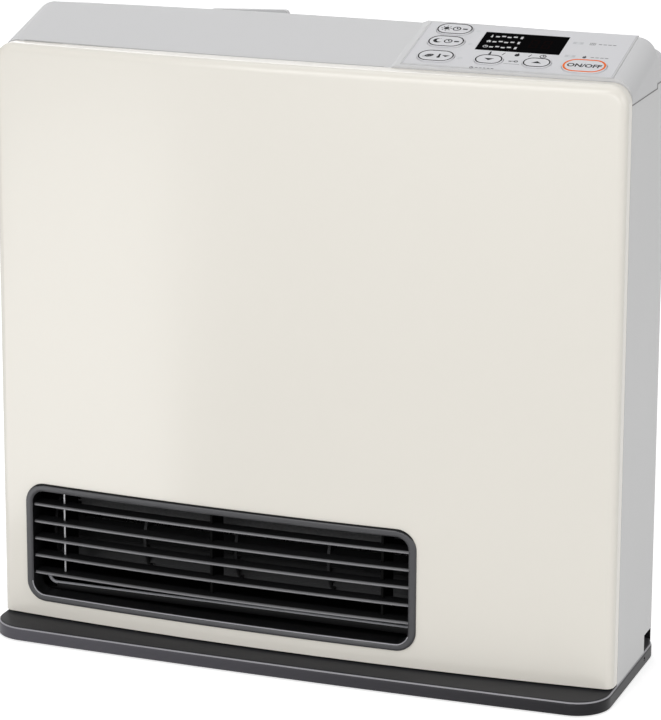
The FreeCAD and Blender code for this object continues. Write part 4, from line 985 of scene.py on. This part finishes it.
def houseMark():
    return [[[(-1.5, 0.1), (0, 1.5), (1.5, 0.1)]], [bar(-1.05, -1.3, 1.05, 0.0), bar(-0.3, -1.3 + 0.05, 0.3, -0.4)]]


def arrowMark(way):
    return [[[(-2.0, -0.75 * way), (2.0, -0.75 * way), (0, 0.95 * way)][::way]]]


sheetLow, sheetHigh = boxOf(slopePoints("control_sheet"))
filmLevel = sheetHigh.z
halfInMillimetres = 500  # half of a length given in metres
printing = {
    "thickness": 0.000025,  # metres
    "line": 0.9,  # millimetres
    "boldLine": 1.35,  # round the power button
    "inset": 0.5,  # from a cap's edge, millimetres
    "words": "ON/OFF",
    "wordSize": 0.0062,
    "bold": 0.00016,  # metres added to each stroke of the words
}


def onSlope(x, y, level):  # from flat on the ground to flat on the slope
    return slopeTurn.to_4x4() @ Matrix.Translation((x, y, level))


def addPrint(name, shapes, middle, finish="inkBlack", level=filmLevel, body="heater"):  # shapes in millimetres
    shape = bmesh.new()
    for loops in shapes:
        edges = []
        for loop in loops:
            verts = [shape.verts.new((x / 1000, y / 1000, 0)) for x, y in loop]
            edges += [shape.edges.new(pair) for pair in zip(verts, verts[1:] + verts[:1])]
        made = bmesh.ops.triangle_fill(shape, edges=edges, use_beauty=True)["geom"]
        faces = [item for item in made if isinstance(item, bmesh.types.BMFace)]
        grown = bmesh.ops.extrude_face_region(shape, geom=faces)["geom"]
        top = [item for item in grown if isinstance(item, bmesh.types.BMVert)]
        bmesh.ops.translate(shape, vec=(0, 0, printing["thickness"]), verts=top)
    bmesh.ops.recalc_face_normals(shape, faces=shape.faces)
    shape.transform(onSlope(middle[0], middle[1], level))
    addShape(name, shape, finish, body=body)


def addWords(name, middle, level, body):
    data = bpy.data.curves.new(name, "FONT")
    data.body = printing["words"]
    data.size = printing["wordSize"]
    data.align_x, data.align_y = "CENTER", "CENTER"
    data.extrude = printing["thickness"] / 2
    data.offset = printing["bold"]
    data.resolution_u = 4
    maker = addObject(name + "Maker", data)
    mesh = bpy.data.meshes.new_from_object(maker.evaluated_get(bpy.context.evaluated_depsgraph_get()))
    bpy.data.objects.remove(maker)
    shape = bmesh.new()
    shape.from_mesh(mesh)
    bpy.data.meshes.remove(mesh)
    bmesh.ops.remove_doubles(shape, verts=shape.verts, dist=1e-7)
    low, high = boxOf([vert.co for vert in shape.verts])
    centre = (low + high) / 2
    shape.transform(onSlope(middle[0] - centre.x, middle[1] - centre.y, level + printing["thickness"] / 2))
    addShape(name, shape, "inkBlack", body=body)


timed = scaled(clockMark(), 1.9, (1.4, 0)) + [[bar(5.4, -0.8, 8.6, 0.8)]]
warmth = scaled(thermometerMark(), 1.9, (2.2, 0)) + scaled(arrowMark(-1), 1.3, (6.6, 0))
capMarks = {  # marks on each button's cap, in millimetres from its middle
    "boost": scaled(sunMark(), 1.9, (-5.6, 0)) + timed,
    "sleep": scaled(moonMark(), 1.9, (-5.6, 0)) + timed,
    "eco": scaled(leafMark(), 1.8, (-4.6, 0)) + warmth,
    "down": scaled(arrowMark(-1), 1.6),
    "up": scaled(arrowMark(1), 1.6),
    "power": [],  # has words and an orange outline
}
capMiddle = {}
for label, marks in capMarks.items():
    body = "button_" + label
    low, high = boxOf([point for point in slopePoints(body) if point.z > filmLevel])
    capMiddle[label] = middle = (low + high) / 2
    wide, tall = ((high[axis] - low[axis]) * halfInMillimetres - printing["inset"] for axis in (0, 1))
    line = printing["line" if marks else "boldLine"]
    ring = [[pillLoop(wide, tall), pillLoop(wide - line, tall - line)]]
    addPrint(label + "Outline", ring, middle, "inkBlack" if marks else "inkOrange", high.z, body)
    if marks:
        addPrint(label + "Marks", marks, middle, "inkBlack", high.z, body)
    else:
        addWords(label + "Words", middle, high.z, body)
print("button marks made:", len(capMarks))

windowLow, windowHigh = boxOf(slopePoints("display_window"))
display = {  # millimetres
    "rowStep": 7.6,
    "markLeft": 5.5,
    "markSize": 1.15,
    "barStep": 3.9,
    "barHalf": (1.3, 0.35),
    "barRise": 0.9,  # each bar grows downwards or upwards by this, in turn
    "tickLeft": 19.2,
    "tickSize": (1.6, 3.2),
    "digitLeft": 33.0,
    "digitStep": 8.4,
    "digitSize": (5.6, 11.5),
    "segment": 1.1,
    "segmentGap": 0.25,
}


def segmentBars(left, spec):  # the seven bars of one digit
    thick, gap = spec["segment"], spec["segmentGap"]
    wide, high = spec["digitSize"]
    shapes = []
    for y in (thick / 2 - high / 2, 0, high / 2 - thick / 2):
        shapes.append([bar(left + thick + gap, y - thick / 2, left + wide - thick - gap, y + thick / 2)])
    for x in (left, left + wide - thick):
        shapes.append([bar(x, gap + thick / 2, x + thick, high / 2 - gap)])
        shapes.append([bar(x, -high / 2 + gap, x + thick, -gap - thick / 2)])
    return shapes


def rowMarks(mark, left, y, spec):  # one row of the display: a mark, four bars and a tick
    shapes = scaled(mark, spec["markSize"], (left, y))
    wide, tall = spec["barHalf"]
    for step in range(1, 5):
        x = left + spec["barStep"] * step
        down, up = (spec["barRise"], 0) if step % 2 else (0, spec["barRise"])
        shapes.append([bar(x - wide, y - tall - down, x + wide, y + tall + up)])
    start, (wide, high) = left + spec["tickLeft"], spec["tickSize"]
    return shapes + [[bar(start, y - high / 2, start + wide, y + high / 2)]]


windowLeft = (windowLow.x - windowHigh.x) * halfInMillimetres
windowMiddle = (windowLow + windowHigh) / 2
marks, digits = [], []
for row, mark in enumerate((thermometerMark(), houseMark(), clockMark())):
    marks += rowMarks(mark, windowLeft + display["markLeft"], display["rowStep"] * (1 - row), display)
for place in range(2):
    digits += segmentBars(windowLeft + display["digitLeft"] + display["digitStep"] * place, display)
addPrint("windowMarks", marks, windowMiddle, "inkWhite", windowHigh.z)
addPrint("windowDigits", digits, windowMiddle, "darkSegment", windowHigh.z)

captions = {  # places of the print on the film, metres
    "keyRise": 0.0008,  # above the middle of the arrow buttons
    "keyLineDrop": 0.0032,
    "settingDrop": 0.0036,  # below the window
    "holdDrop": 0.0115,  # below the down button's middle
    "edgeInset": 0.0004,
    "edgeGap": 0.6,  # millimetres left free at each end of an edge line
}
down, up = capMiddle["down"], capMiddle["up"]
between = (down.x + up.x) / 2
addPrint("keyMark", scaled(keyMark(), 1.25), (between, down.y + captions["keyRise"]))
addPrint("keyLine", [[bar(-5.2, -0.16, 5.2, 0.16)]], (between, down.y - captions["keyLineDrop"]), "inkGrey")
setting = scaled(thermometerMark(), 1.5, (-18, 0)) + scaled(flameMark(), 1.5) + scaled(clockMark(), 1.5, (17, 0))
setting += [[turnedLoop(bar(-0.28, -1.8, 0.28, 1.8), -20, (x, 0))] for x in (-9, 8.5)]
addPrint("settingMarks", setting, (between, windowLow.y - captions["settingDrop"]))
hold = scaled(clockMark(), 0.8, (-8, 0)) + dashes(5, 2.6, -5.6, -3.8, 0.28)
addPrint("holdMarks", hold, (down.x, down.y - captions["holdDrop"]))
labels = (("flameLabel", flameMark()), ("filterLabel", filterMark()))
for (low, high), (name, mark) in zip(islands("indicator_lenses")[-2:], labels):  # the two lamps beside the window
    spot = slopeTurn.transposed() @ ((low + high) / 2)
    addPrint(name + "Plate", [[bar(-3.4, -1.5, 3.4, 1.5), disc((0, 0), 1.45)]], spot, "inkPale")
    addPrint(name, scaled(mark, 1.15, (9.5, 0)) + dashes(4, 3.1, 13.5, 15.7, 0.32), spot, "inkGrey")
edgeHalf = (sheetHigh.y - sheetLow.y) * halfInMillimetres - captions["edgeGap"]
inset, sheetMiddle = captions["edgeInset"], (sheetLow.y + sheetHigh.y) / 2
for name, x in (("filmLeftLine", sheetLow.x + inset), ("filmRightLine", sheetHigh.x - inset)):
    addPrint(name, [[bar(-0.15, -edgeHalf, 0.15, edgeHalf)]], (x, sheetMiddle), "inkFaint")
bevel = {"wide": 0.0010, "sunk": 0.0002}  # a small ramp round the film, metres


def makeBevel(spec):
    rings = []
    for (x, y), (right, up) in zip(bar(*sheetLow.xy, *sheetHigh.xy), bar(-1, -1, 1, 1)):
        foot = (x + right * spec["wide"], y + up * spec["wide"], sheetLow.z)
        points = ((x, y, filmLevel), foot, (x, y, sheetLow.z - spec["sunk"]))
        rings.append([slopeTurn @ Vector(point) for point in points])
    addShape("filmBevel", ringShape(rings, closed=True), "coverPlastic")


makeBevel(bevel)
print("control section printed")
